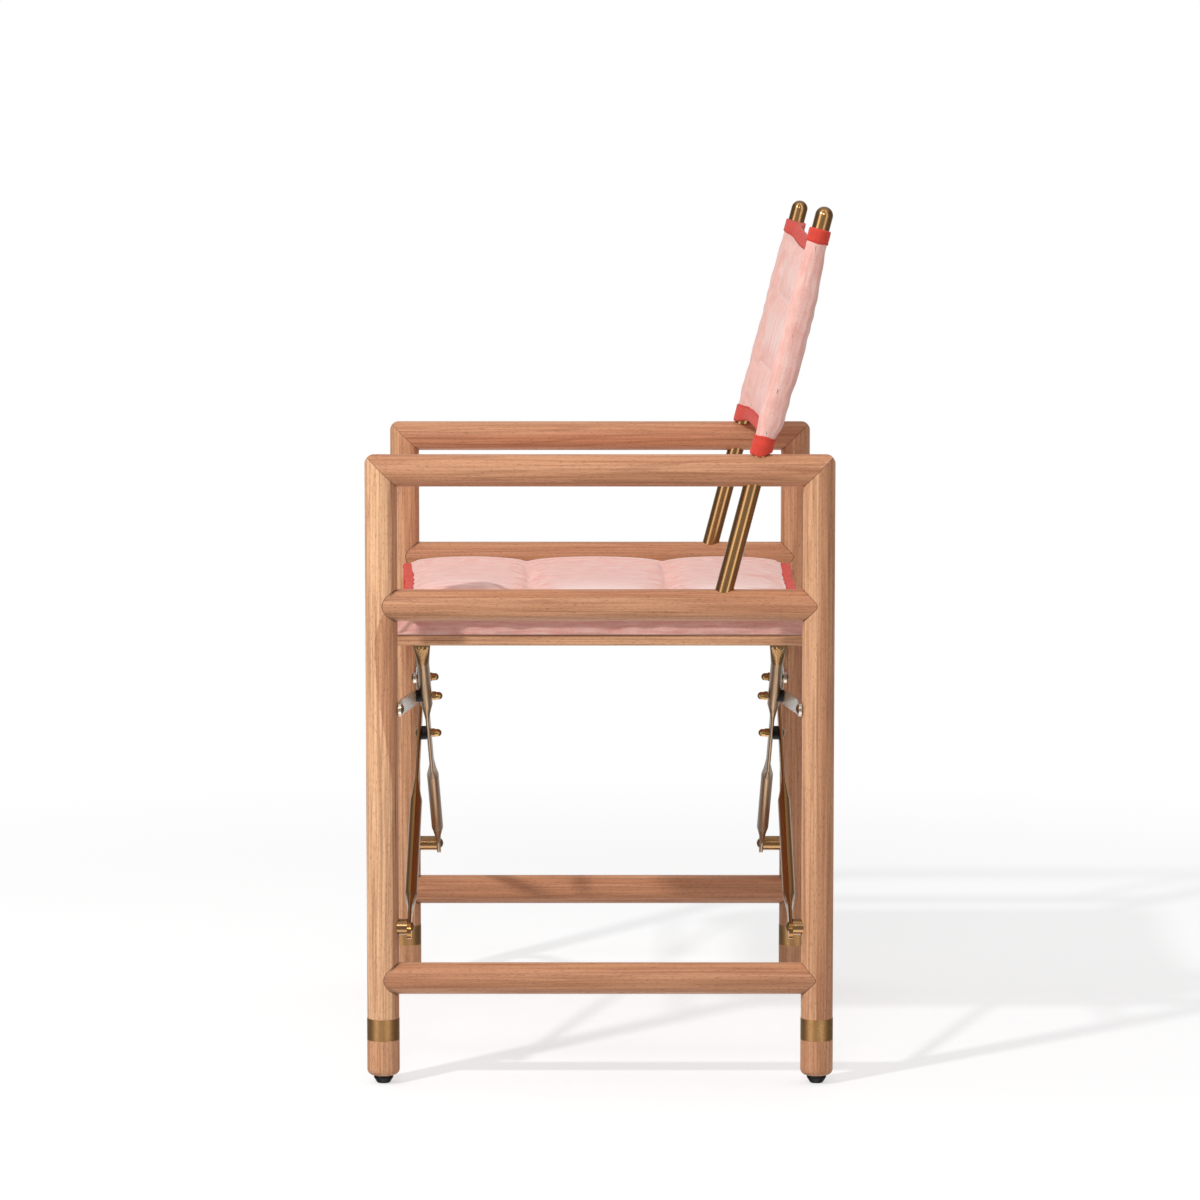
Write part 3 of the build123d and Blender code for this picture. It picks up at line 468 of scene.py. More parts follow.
def mitre_line():
    """Thin dark line where the arm rail is mitred to a leg."""
    tree, given = new_group("mitre_line", {"Vector": "Vector", "Width": "Float"}, {"Line": "Float"})
    y, z = tree.parts(given["Vector"])[1:]
    from_leg = tree.minus(tree.size(y), LEG_Y)
    slant = tree.size(tree.minus(from_leg, tree.minus(z, ARM_Z)))
    return tree.put_out(Line=tree.ease(slant, 0.0, given["Width"], 1.0, 0.0))


def rail_nose():
    """End of a rail let into a leg, rounded in front and pointed at the rear: its area, line and normal."""
    tree, given = new_group(
        "rail_nose",
        {"Vector": "Vector", "Width": "Float"},
        {"Area": "Float", "Line": "Float", "Normal": "Vector"},
    )
    x, y, z = tree.parts(given["Vector"])
    inward = tree.minus(LEG_Y, tree.size(y))
    upper = tree.more(z, (RAIL_Z + STRETCHER_Z) / 2)
    above = tree.minus(z, tree.span(upper, 0.0, 1.0, STRETCHER_Z, RAIL_Z))
    on_rail = tree.math("LESS_THAN", tree.size(above), RAIL_RADIUS)
    squared = tree.times(above, above)
    blunt = tree.plus(tree.times(squared, NOSE_CURVE), BLUNT_GAP)
    slope = tree.math("SQRT", tree.plus(squared, POINT_GAP**2))
    pointed = tree.minus(slope, given["Width"])
    rear = tree.more(y, 0.0)
    nose = tree.plus(tree.times(blunt, tree.minus(1.0, rear)), tree.times(pointed, rear))
    beyond = tree.minus(inward, nose)
    line = tree.ease(tree.size(beyond), 0.0, given["Width"], 1.0, 0.0)
    lean = tree.math("DIVIDE", above, RAIL_RADIUS)
    level = tree.math("SQRT", tree.math("MAXIMUM", tree.minus(1.0, tree.times(lean, lean)), 0.0))
    outside = tree.math("SIGN", tree.minus(tree.size(x), FRAME_X))
    faced = tree.joined(x=tree.times(level, tree.times(outside, tree.math("SIGN", x))), z=lean)
    turn = {"vector_type": "NORMAL", "convert_from": "OBJECT", "convert_to": "WORLD"}
    return tree.put_out(
        Area=tree.times(on_rail, tree.more(beyond, 0.0)),
        Line=tree.times(on_rail, line),
        Normal=tree.node("VectorTransform", {0: faced}, **turn)[0],
    )


def brushed_metal():
    """Fine lengthwise brushing along the vector's Z, with a soft patina."""
    tree, given = new_group(
        "brushed_metal", {"Vector": "Vector", "Metal": "Color"}, {"Color": "Color", "Streak": "Float"}
    )
    streak = tree.noise(given["Vector"], 1100, 8, 2)
    patina = tree.span(tree.noise(given["Vector"], 38, 12, 3), 0.35, 0.7, 0.0, 0.30)
    worn = tree.mix(patina, given["Metal"], PATINA)
    colour = tree.mix(tree.span(streak, 0.35, 0.65, 0.0, 0.40), worn, BRUSHING)
    return tree.put_out(Color=colour, Streak=streak)


def plain_weave():
    """Over and under threads of a melange cloth on a flat map in metres, with slubs along the map's Y and
    painted shade in the gaps between threads.
    """
    tree, given = new_group(
        "plain_weave",
        {"Map": "Vector", "Pitch": "Float", "Pale": "Color", "Deep": "Color"},
        {"Color": "Color", "Height": "Float"},
    )
    x, y = tree.parts(given["Map"])[:2]
    turns = [tree.math("DIVIDE", place, given["Pitch"]) for place in (x, y)]
    weave = tree.times(*[tree.math("SINE", tree.times(turn, pi)) for turn in turns])
    along_x = tree.joined(x=y, z=x)
    warp = tree.span(tree.noise(tree.joined(x=x, z=y), 460, 40, 3), 0.34, 0.66)
    weft = tree.span(tree.noise(along_x, 900, 300, 2), 0.25, 0.8)
    slub = tree.span(tree.noise(along_x, 60, 60, 3), 0.35, 0.68)
    tone = tree.mix(tree.span(weave, -0.25, 0.25), warp, weft)
    tone = tree.plus(tree.times(tone, 0.80), tree.times(slub, 0.20))
    hollow = tree.size(weave)
    colour = tree.mix(tone, given["Deep"], given["Pale"])
    # painted shade: the gaps between the threads are darkened towards the deep thread
    colour = tree.mix(tree.span(hollow, 0.0, 0.4, 0.30, 0.0), colour, given["Deep"], "MULTIPLY")
    return tree.put_out(Color=colour, Height=tree.plus(hollow, tree.times(tone, 0.5)))


STITCH_SIZES = ("Pitch", "Length", "Thickness")


def stitch_row():
    """Geometry nodes that lay a row of stitches along every line of a mesh."""
    tree, given = new_group(
        "stitch_row",
        {"Geometry": "Geometry", **dict.fromkeys(STITCH_SIZES, "Float"), "Thread": "Material"},
        {"Geometry": "Geometry"},
        "GeometryNodeTree",
    )
    line = tree.node("GeometryNodeMeshToCurve", {"Mesh": given["Geometry"]})["Curve"]
    even = tree.node("GeometryNodeResampleCurve", {"Curve": line, "Length": given["Pitch"]}, mode="LENGTH")
    way = tree.node("GeometryNodeInputTangent")["Tangent"]
    grain = tree.node("GeometryNodeMeshUVSphere", {"Segments": 6, "Rings": 5, "Radius": 0.5})
    feeds = {
        "Points": even["Curve"],
        "Instance": grain["Mesh"],
        "Rotation": tree.node("FunctionNodeAlignRotationToVector", {"Vector": way}, axis="Z")["Rotation"],
        "Scale": tree.joined(given["Thickness"], given["Thickness"], given["Length"]),
    }
    sewn = tree.node("GeometryNodeInstanceOnPoints", feeds)["Instances"]
    for kind in ("RealizeInstances", "SetShadeSmooth"):
        sewn = tree.node("GeometryNode" + kind, {"Geometry": sewn})["Geometry"]
    dyed = tree.node("GeometryNodeSetMaterial", {"Geometry": sewn, "Material": given["Thread"]})
    return tree.put_out(Geometry=dyed["Geometry"])


# Finishes
def new_material(name):
    made = bpy.data.materials.new(name)
    made.use_nodes = True
    return made, Tree(made.node_tree)


def made_once(name, maker, *values):
    """The material of that name, built on its first use."""
    return bpy.data.materials.get(name) or maker(name, *values)


def object_place(tree):
    return tree.node("TexCoord")["Object"]


def cloth_map(tree):
    return tree.node("UVMap", uv_map="Cloth")[0]


def coat(made, tree, colour, roughness, normal, **levels):
    """Feeds a material's own shader, and gives the material."""
    shader = made.node_tree.nodes["Principled BSDF"].inputs
    values = {"Base Color": colour, "Roughness": roughness, "Normal": normal}
    values.update({label.replace("_", " "): level for label, level in levels.items()})
    for label, value in values.items():
        tree.feed(shader[label], value)
    return made


def teak_piece(tree, place, turn, heart):
    wood = settings("wood")
    vector = tree.scaled(place, turn=turn)
    colours = {"Light": wood.light, "Middle": wood.middle, "Dark": wood.dark}
    return tree.group(teak_figure, Vector=vector, Heart=heart, **colours)


def wood_joint(tree, maker, place):
    return tree.group(maker, Vector=place, Width=settings("wood").joint_line)


def glue_line(tree, colour, joint):
    return tree.mix(tree.times(joint["Line"], GLUE_SHARE), colour, GLUE)


def oiled(made, tree, colour, roughness, height, normal=None):
    relief = tree.bump(height, TEAK_RELIEF, 0.6, normal)
    return coat(made, tree, colour, roughness, relief, Specular_IOR_Level=0.38)


def teak(name, turn=UPRIGHT, heart=1.0, mitred=False):
    """Oiled teak with its grain along Z, or along Y where the vector is turned."""
    made, tree = new_material(name)
    place = object_place(tree)
    figure = teak_piece(tree, place, turn, heart)
    colour = figure["Color"]
    if mitred:
        colour = glue_line(tree, colour, wood_joint(tree, mitre_line, place))
    return oiled(made, tree, colour, figure["Roughness"], figure["Height"])


def leg_teak(name):
    """Teak of a leg, with the ends of the rails let into it."""
    made, tree = new_material(name)
    place = object_place(tree)
    leg = teak_piece(tree, place, UPRIGHT, tree.group(leg_heart, Vector=place)["Heart"])
    rail = teak_piece(tree, place, LEVEL, 1.0)
    nose = wood_joint(tree, rail_nose, place)
    area = nose["Area"]
    colour = tree.mix(area, leg["Color"], rail["Color"])
    for joint in (nose, wood_joint(tree, mitre_line, place)):
        colour = glue_line(tree, colour, joint)
    height = tree.node("Mix", {0: area, 2: leg["Height"], 3: rail["Height"]})[0]
    own = tree.node("NewGeometry")["Normal"]
    way = tree.node("Mix", {0: area, 4: own, 5: nose["Normal"]}, data_type="VECTOR")[1]
    return oiled(made, tree, colour, leg["Roughness"], height, way)


def metal(name, base, turn=UPRIGHT, matt=0.0):
    """Brushed metal, with its brushing along Z once the vector is turned."""
    made, tree = new_material(name)
    brushed = tree.group(brushed_metal, Vector=tree.scaled(object_place(tree), turn=turn), Metal=base)
    streak = brushed["Streak"]
    polish = settings("metal").polish + matt
    roughness = tree.span(streak, 0.25, 0.75, polish - 0.07, polish + 0.11)
    return coat(made, tree, brushed["Color"], roughness, tree.bump(streak, METAL_RELIEF, 0.5), Metallic=1.0)


def nylon(name):
    """Moulded black nylon with a fine spark-eroded grain."""
    made, tree = new_material(name)
    place = object_place(tree)
    grain = tree.noise(place, 2600, 2600, 2)
    scuff = tree.span(tree.noise(place, 160, 160, 3), 0.5, 0.75)
    colour = tree.mix(tree.times(scuff, 0.5), settings("metal").nylon, SCUFF)
    roughness = tree.span(grain, 0.3, 0.7, 0.38, 0.62)
    return coat(made, tree, colour, roughness, tree.bump(grain, NYLON_RELIEF, 0.5), Specular_IOR_Level=0.2)


def beech(name):
    """Pale turned beech with short flecks."""
    made, tree = new_material(name)
    fleck = tree.span(tree.noise(object_place(tree), 700, 90, 2), 0.55, 0.75)
    colour = tree.mix(tree.times(fleck, 0.5), settings("wood").beech, FLECK)
    return coat(made, tree, colour, tree.span(fleck, 0, 1, 0.62, 0.74), tree.bump(fleck, BEECH_RELIEF, 0.4))


def woven(name):
    """Pink melange cloth, with a painted sheen: a pale colour mixed in where the cloth is seen edge on."""
    cloth = settings("cloth")
    made, tree = new_material(name)
    colours = {"Pale": cloth.pale, "Deep": cloth.deep}
    weave = tree.group(plain_weave, Map=cloth_map(tree), Pitch=cloth.thread_pitch, **colours)
    height = weave["Height"]
    # painted sheen: the cloth turns pale where it is seen edge on
    painted_sheen = tree.ease(tree.node("LayerWeight")["Facing"], 0.85, 0.98, 0.0, 0.6)
    return coat(
        made,
        tree,
        tree.mix(painted_sheen, weave["Color"], SHEEN_TINT),
        tree.span(height, 0, 1.5, 0.86, 0.74),
        tree.bump(height, CLOTH_RELIEF, 0.45),
        Sheen_Weight=0.35,
        Sheen_Roughness=0.5,
        Specular_IOR_Level=0.2,
    )


def ribbed_tape(name):
    """Red woven tape with fine cross ribs, and painted shade in the grooves between them."""
    made, tree = new_material(name)
    place = cloth_map(tree)
    rib = tree.size(tree.math("SINE", tree.times(tree.parts(place)["X"], pi / RIB_PITCH)))
    fade = tree.span(tree.noise(place, 140, 140, 3), 0.3, 0.7)
    worn = tree.mix(tree.times(fade, 0.45), settings("cloth").tape, TAPE_FADED)
    return coat(
        made,
        tree,
        # painted shade: the grooves between the ribs are darkened
        tree.mix(tree.span(rib, 0.0, 0.5, 0.35, 0.0), worn, TAPE_GROOVE_SHADE, "MULTIPLY"),
        tree.span(rib, 0, 1, 0.82, 0.70),
        tree.bump(rib, TAPE_RELIEF, 0.5),
        Sheen_Weight=0.1,
        Specular_IOR_Level=0.25,
    )


def sewing_thread(name, base):
    """Twisted sewing thread."""
    made, tree = new_material(name)
    twist = tree.noise(object_place(tree), 2400, 2400, 1)
    colour = tree.mix(tree.span(twist, 0.35, 0.65, 0, 0.3), base, BLACK)
    roughness = tree.span(twist, 0.3, 0.7, 0.55, 0.7)
    return coat(made, tree, colour, roughness, tree.bump(twist, THREAD_RELIEF, 0.4))


def paint(material, *nodes):
    """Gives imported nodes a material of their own."""
    for node in nodes:
        slots = frame["nodes"][node].data.materials
        slots.clear()
        slots.append(material)


def paint_sides(material, *parts):
    """Gives a material to the nodes of those parts on both sides."""
    paint(material, *[f"{side}_{part}" for side in SIDES for part in parts])


# Cloth shapes
def smooth(share):
    share = np.clip(share, 0, 1)
    return share * share * (3 - 2 * share)


def bell(away, wide):
    """A rise that is 1 at no distance and fades within about that width."""
    return np.exp(-((away / wide) ** 2))


def ripple(place, length, seed):
    """A lively wave along a seam, always the same for one seed."""
    turns = 2 * pi * place / length
    drift = sum(tall * np.sin(turns / longer + start * seed) for tall, longer, start in RIPPLE_DRIFT)
    return np.sin(turns + drift + seed)


def gathers(place, apart, seed, pitch, tall, reach):
    """Small folds that a seam draws into the cloth beside it."""
    fade = np.exp(-np.abs(apart) / reach) * smooth(np.abs(apart) / SEAM_FLAT)
    return tall * fade * ripple(place, pitch, seed)


def pillow(place, lines):
    """Swelling between sewn lines: 0 on each line, 1 in the middle between two."""
    swelling = np.zeros_like(place)
    for low, high in zip(lines, lines[1:]):
        share = np.clip((place - low) / (high - low), 0, 1)
        swelling = np.maximum(swelling, np.sin(pi * share) ** PILLOW_POWER)
    return swelling


def on_seams(place, lines):
    """1 at the points that lie on a sewn line, 0 elsewhere."""
    near = np.min([np.abs(place - line) for line in lines], axis=0)
    return np.where(near < SEAM_SHARE * settings("cloth").grid, 1.0, 0.0)


def run_along(points):
    """Length of a line up to each of its points."""
    return np.concatenate([[0], np.cumsum(np.linalg.norm(np.diff(points, axis=0), axis=1))])


def along_line(points, count):
    """Evenly spaced points on a line through the given ones."""
    points = np.array(points, float)
    run = run_along(points)
    even = np.linspace(0, run[-1], count)
    return np.stack([np.interp(even, run, points[:, k]) for k in range(points.shape[1])], axis=1)


def two_sided(upper, lower):
    """Closed rows that run along the upper points and back along the lower ones."""
    return np.concatenate([upper, lower[:, ::-1]], axis=1)


def new_object(name, content):
    made = bpy.data.objects.new(name, content)
    bpy.context.scene.collection.objects.link(made)
    return made


def shell(name, upper, lower, flat, material):
    """A closed skin over rows of upper and lower points, with a flat map in metres for its weave."""
    rows = two_sided(upper, lower)
    count, around = rows.shape[:2]
    flat = two_sided(flat, flat)
    flat = np.concatenate([flat, flat[:, :1]], axis=1)
    faces = []
    corners = []
    for row in range(count - 1):
        this = row * around
        following = this + around
        for k in range(around):
            after = (k + 1) % around
            faces.append((this + k, this + after, following + after, following + k))
            corners += [flat[row, k], flat[row, k + 1], flat[row + 1, k + 1], flat[row + 1, k]]
    for row in (0, count - 1):
        for k in range(around // 2 - 1):
            ring = (k, k + 1, around - 2 - k, around - 1 - k)
            faces.append(tuple(row * around + i for i in ring))
            corners += [flat[row, i] for i in ring]
    mesh = bpy.data.meshes.new(name)
    mesh.from_pydata(rows.reshape(-1, 3).tolist(), [], faces)
    layer = mesh.uv_layers.new(name="Cloth")
    layer.data.foreach_set("uv", np.array(corners, np.float32).ravel())
    whole = bmesh.new()
    whole.from_mesh(mesh)
    bmesh.ops.recalc_face_normals(whole, faces=whole.faces)
    whole.to_mesh(mesh)
    whole.free()
    mesh.materials.append(material)
    mesh.polygons.foreach_set("use_smooth", [True] * len(mesh.polygons))
    return new_object(name, mesh)


def places_of(piece):
    places = np.zeros(len(piece.data.vertices) * 3, np.float32)
    piece.data.vertices.foreach_get("co", places)
    return places.reshape(-1, 3).astype(float)


def move_points(piece, places):
    piece.data.vertices.foreach_set("co", places.astype(np.float32).ravel())
    piece.data.update()


def make_plain(piece):
    """Turns a piece with its modifiers into a plain mesh."""
    graph = bpy.context.evaluated_depsgraph_get()
    seen = piece.evaluated_get(graph)
    mesh = bpy.data.meshes.new_from_object(seen, preserve_all_data_layers=True, depsgraph=graph)
    piece.modifiers.clear()
    piece.data = mesh


def subdivide(piece):
    finer = piece.modifiers.new("smoother", "SUBSURF")
    finer.levels = finer.render_levels = 1
    make_plain(piece)


def swell(piece, held):
    """Blows up a closed quilt by cloth simulation, with its seams and edges held."""
    cloth = settings("cloth")
    scene = bpy.context.scene
    cut = places_of(piece)
    group = piece.vertex_groups.new(name="held")
    for index, weight in enumerate(two_sided(held, held).ravel()):
        group.add([index], float(weight), "REPLACE")
    blown = piece.modifiers.new("swell", "CLOTH")
    for name, value in PADDING.items():
        setattr(blown.settings, name, value)
    blown.settings.uniform_pressure_force = cloth.pressure
    blown.settings.vertex_group_mass = group.name
    blown.settings.effector_weights.gravity = 0
    blown.collision_settings.use_collision = False
    blown.collision_settings.use_self_collision = False
    blown.point_cache.frame_start = 1
    blown.point_cache.frame_end = cloth.swell_steps
    for step in range(1, cloth.swell_steps + 1):
        scene.frame_set(step)
    move = places_of(piece.evaluated_get(bpy.context.evaluated_depsgraph_get())) - cut
    far = np.linalg.norm(move, axis=1, keepdims=True)
    move *= np.minimum(1, cloth.swell_reach / np.maximum(far, 1e-9))
    piece.modifiers.clear()
    piece.vertex_groups.clear()
    move_points(piece, cut + move)
    scene.frame_set(1)


def stitches(name, lines, thread):
    """Rows of stitches along lines of points, as one plain mesh."""
    cloth = settings("cloth")
    points = []
    edges = []
    for line in lines:
        first = len(points)
        points += [tuple(place) for place in line]
        edges += [(first + i, first + i + 1) for i in range(len(line) - 1)]
    mesh = bpy.data.meshes.new(name)
    mesh.from_pydata(points, edges, [])
    piece = new_object(name, mesh)
    sewing = piece.modifiers.new("sewing", "NODES")
    sewing.node_group = bpy.data.node_groups.get("stitch_row") or stitch_row()
    lengths = (cloth.stitch_pitch, cloth.stitch_long, cloth.stitch_thick)
    values = dict(zip(STITCH_SIZES, lengths), Thread=thread)
    for socket in sewing.node_group.interface.items_tree:
        if socket.in_out == "INPUT" and socket.name in values:
            sewing[socket.identifier] = values[socket.name]
    make_plain(piece)
    if not piece.data.polygons:
        raise RuntimeError(f"{name}: the rows of stitches are empty")
    return piece


def folded_tape(name, edge, inside, normal, half, material):
    """A folded tape from its sewn side to its rounded fold at edge, of one thickness or one for each row."""
    way = edge - inside
    wide = np.linalg.norm(way, axis=1, keepdims=True)
    way = way / wide
    half = half + np.zeros_like(wide)
    reach = [(share * (wide - half), half) for share in np.linspace(0, 1, 6)[:-1]]
    reach += [(wide - half + half * sin(a), half * cos(a)) for a in np.linspace(0, pi / 2, 5)[:-1]]
    upper = np.stack([inside + way * out + normal * up for out, up in reach], axis=1)
    lower = np.stack([inside + way * out - normal * up for out, up in reach], axis=1)
    run = run_along(edge)
    flat = np.stack([np.stack([run, out[:, 0]], axis=1) for out, up in reach], axis=1)
    tape = shell(name, upper, lower, flat, material)
    subdivide(tape)
    return tape


# Seat
def seat_lines(x):
    """Y of the seat's front fold, sewn edges and channels, and rear fold, at a distance from the middle."""
    cloth = settings("cloth")
    inward = 1 - np.minimum(np.abs(x) / HINGE_X, 1) ** 2
    front = SEAT_FRONT + cloth.seat_front_dip * inward
    rear = SEAT_REAR - cloth.seat_rear_dip * inward
    low = front + cloth.seat_tape
    high = rear - cloth.rear_tape
    channels = [low + share * (high - low) for share in cloth.seat_rows]
    return front, [low, *channels, high], rear


def seat_middle(x):
    """Height of the middle of the seat's thickness."""
    side = BATTEN_HIGH.z + SEAT_LIFT
    return SEAT_MIDDLE_Z + (side - SEAT_MIDDLE_Z) * np.minimum(np.abs(x) / HINGE_X, 1) ** 2


def seat_upper(x, y, crown):
    """Height of the seat's upper side above the middle of its thickness, with tufts along the channels."""
    cloth = settings("cloth")
    lines = seat_lines(x)[1]
    from_edge = np.minimum(y - lines[0], lines[-1] - y)
    sewn = cloth.edge_half + (cloth.seat_seam - cloth.edge_half) * smooth(from_edge / EDGE_RUN)
    count = int(HINGE_X / cloth.tuft_pitch)
    tufts = [k * cloth.tuft_pitch for k in range(-count, count + 1)]
    dip = sum(bell(np.hypot(x - tuft, y - line), TUFT_WIDE) for tuft in tufts for line in lines[1:3])
    cells = pillow(y, lines) * (1 - TUFT_SHARE * np.minimum(dip, 1))
    return sewn + (crown - sewn) * cells - TUFT_DEEP * dip


def seat_cushion(material):
    """The quilted seat between the battens."""
    cloth = settings("cloth")
    reach = HINGE_X + NOSE_LAP
    columns = np.linspace(-reach, reach, int(2 * reach / cloth.grid) + 1)
    share = np.linspace(0, 1, int((SEAT_REAR - SEAT_FRONT) / cloth.grid) + 1)
    x = np.repeat(columns[:, None], len(share), axis=1)
    lines = seat_lines(x)[1]
    start = lines[0] - TUCK
    y = start + share * (lines[-1] + TUCK - start)
    near_side = smooth((np.abs(x) / reach - (1 - SIDE_RUN)) / SIDE_RUN)
    left_out = CUT_SHARE * cloth.swell_reach
    in_cell = smooth((lines[1] - y) / EDGE_RUN) * smooth((y - lines[0]) / EDGE_RUN)
    fuller = FULL_FRONT * bell(x - FULL_X, FULL_WIDE) * in_cell
    crown = cloth.seat_crown - left_out * (1 - near_side) + fuller
    base = (cloth.seat_base - left_out) * (1 - near_side) + SIDE_BASE * near_side
    under_lap = LAP_THIN * smooth((np.abs(x) - HINGE_X + NOSE_LAP) / NOSE_LAP)
    top = seat_upper(x, y, crown) - under_lap
    cells = pillow(y, lines)
    sewn = cloth.edge_half * EDGE_SHARE + (cloth.seat_seam - cloth.edge_half) * cells
    bottom = sewn + (base - sewn) * cells
    middle = seat_middle(x)
    upper = np.stack([x, y, middle + top], axis=2)
    lower = np.stack([x, y, middle - bottom], axis=2)
    seat = shell("seat_cushion", upper, lower, np.stack([x, y], axis=2), material)
    held = on_seams(y, lines)
    held[np.abs(x) > HINGE_X - 1.5 * cloth.grid] = 1.0
    held[:, :2] = held[:, -2:] = 1.0
    swell(seat, held)
    subdivide(seat)
    pucker_seat(seat)
    return seat


def pucker_seat(seat):
    """Gathers along the channels and beside the tapes, and the channels drawn in by their thread."""
    places = places_of(seat)
    x, y, z = places.T
    lines = seat_lines(x)[1]
    side = np.where(z > seat_middle(x), 1.0, -1.0)
    lift = np.zeros_like(x)
    pitch = 0.0105
    for number, line in enumerate(lines):
        apart = y - line
        seed = 3.1 * number + np.where(apart > 0, 1.7, 0.0)
        channel = number in (1, 2)
        tall, reach = (0.0010, 0.016) if channel else (0.0005, 0.010)
        lift += gathers(x, apart, seed, pitch, tall, reach)
        if channel:
            lift -= np.where(side > 0, CHANNEL_DRAW, 0.0) * bell(apart, CHANNEL_WIDE)
    at_batten = 0.35
    inside = 1 - smooth((np.abs(x) - HINGE_X + EDGE_RUN) / EDGE_RUN)
    places[:, 2] += side * lift * (at_batten + (1 - at_batten) * inside)
    move_points(seat, places)


def seat_tape_rows(x):
    """Fold, sewn side and normal of the seat's front and rear tapes."""
    front, lines, rear = seat_lines(x)
    droop, droop_long = 0.0004, 0.047
    wander, wander_long = 0.0006, 0.060
    z = seat_middle(x) + droop * ripple(x, droop_long, 1.3)
    normal = np.stack([np.zeros_like(x), np.zeros_like(x), np.ones_like(x)], axis=1)
    for name, fold, sewn, seed in (("front", front, lines[0], 0.4), ("rear", rear, lines[-1], 2.9)):
        wave = wander * ripple(x, wander_long, seed)
        yield name, np.stack([x, fold + wave, z], axis=1), np.stack([x, sewn, z], axis=1), normal


def pocket_line(top, roll):
    """Outer line of the cloth over the left batten, from the seat over its roll and down to the groove."""
    skin = POCKET_HIGH.x
    crown = 0.0006
    line = []
    for share in np.linspace(0, 1, 7):
        line.append((HINGE_X + share * (skin - HINGE_X), top + crown * sin(pi * share)))
    under = BATTEN_HIGH.z - ROLL_DROP
    widest = under + ROLL_FOOT
    for a in np.linspace(0, pi, 21)[1:]:
        tall = top - widest if a < pi / 2 else ROLL_FOOT
        line.append((skin + roll * sin(a), widest + tall * cos(a)))
    groove = POCKET_LOW.z + POCKET_GAP
    for share in np.linspace(0, 1, 10)[1:]:
        line.append((skin + POCKET_BOW * sin(pi * share), under + share * (groove - under)))
    line.append((BATTEN_HIGH.x - POCKET_HEM, groove))
    return along_line(line, POCKET_POINTS)


def batten_pocket(side, material):
    """The padded cloth over one batten, with the channels of the seat running over it."""
    cloth = settings("cloth")
    y_front = SEAT_FRONT + cloth.seat_tape - TUCK
    y_rear = SEAT_REAR - cloth.rear_tape + TUCK
    stations = np.linspace(y_front, y_rear, int((y_rear - y_front) / POCKET_GRID) + 1)
    side_x = np.full_like(stations, HINGE_X)
    tops = seat_middle(side_x) + seat_upper(side_x, stations, cloth.seat_crown)
    groove = POCKET_LOW.z + 0.0022
    top = BATTEN_HIGH.z + POCKET_GAP
    face = BATTEN_HIGH.x + POCKET_GAP
    inner = along_line(
        [(HINGE_X, top), (face, top), (face, groove), (BATTEN_HIGH.x - POCKET_HEM, groove)], POCKET_POINTS
    )
    run = HINGE_X + np.linspace(0, POCKET_RUN, POCKET_POINTS)
    upper = []
    lower = []
    flat = []
    for y, top in zip(stations, tops):
        ends = smooth((y - y_front) / ROLL_RUN) * smooth((y_rear - y) / ROLL_RUN)
        outer = pocket_line(top, POCKET_GAP + ROLL_OUT * ends)
        row = np.full(POCKET_POINTS, y)
        upper.append(np.stack([side * outer[:, 0], row, outer[:, 1]], axis=1))
        lower.append(np.stack([side * inner[:, 0], row, inner[:, 1]], axis=1))
        flat.append(np.stack([run, row], axis=1))
    name = "left_pocket_cover" if side > 0 else "right_pocket_cover"
    cover = shell(name, np.array(upper), np.array(lower), np.array(flat), material)
    subdivide(cover)
    crease_pocket(cover, side)
    return cover


def rear_slant(z, side):
    """How far the end of the cloth over the left batten lies further to the rear at a height."""
    return max(side, 0) * REAR_SLANT * smooth((BATTEN_HIGH.z + SEAT_LIFT - z) / SLANT_RUN)


def crease_pocket(cover, side):
    """Slack along the cloth's lower edge, a fold across its front end and the slant of its rear end."""
    places = places_of(cover)
    x, y, z = places.T
    low = z - POCKET_LOW.z
    face_run, top_run, hem, hem_run = 0.0015, 0.006, 0.001, 0.003
    outside = smooth((side * x - BATTEN_HIGH.x) / face_run) * smooth((BATTEN_HIGH.z - z) / top_run)
    outside *= smooth((low - hem) / hem_run)
    slack = sum(tall * ripple(y, long, seed) for tall, long, seed in POCKET_SLACK)
    fold_slope, fold_y, fold_z = 0.9, SEAT_FRONT + 0.018, 0.008
    from_front = (y - fold_y) - fold_slope * (low - fold_z)
    fold = sum(tall * bell(from_front - start, wide) for tall, start, wide in POCKET_FOLD)
    places[:, 0] += side * outside * (slack + fold)
    turn_run, slant_start, slant_run = 0.004, SEAT_REAR - 0.06, 0.05
    outer = smooth((side * x - BATTEN_HIGH.x + turn_run) / turn_run)
    places[:, 1] += rear_slant(z, side) * outer * smooth((y - slant_start) / slant_run)
    move_points(cover, places)


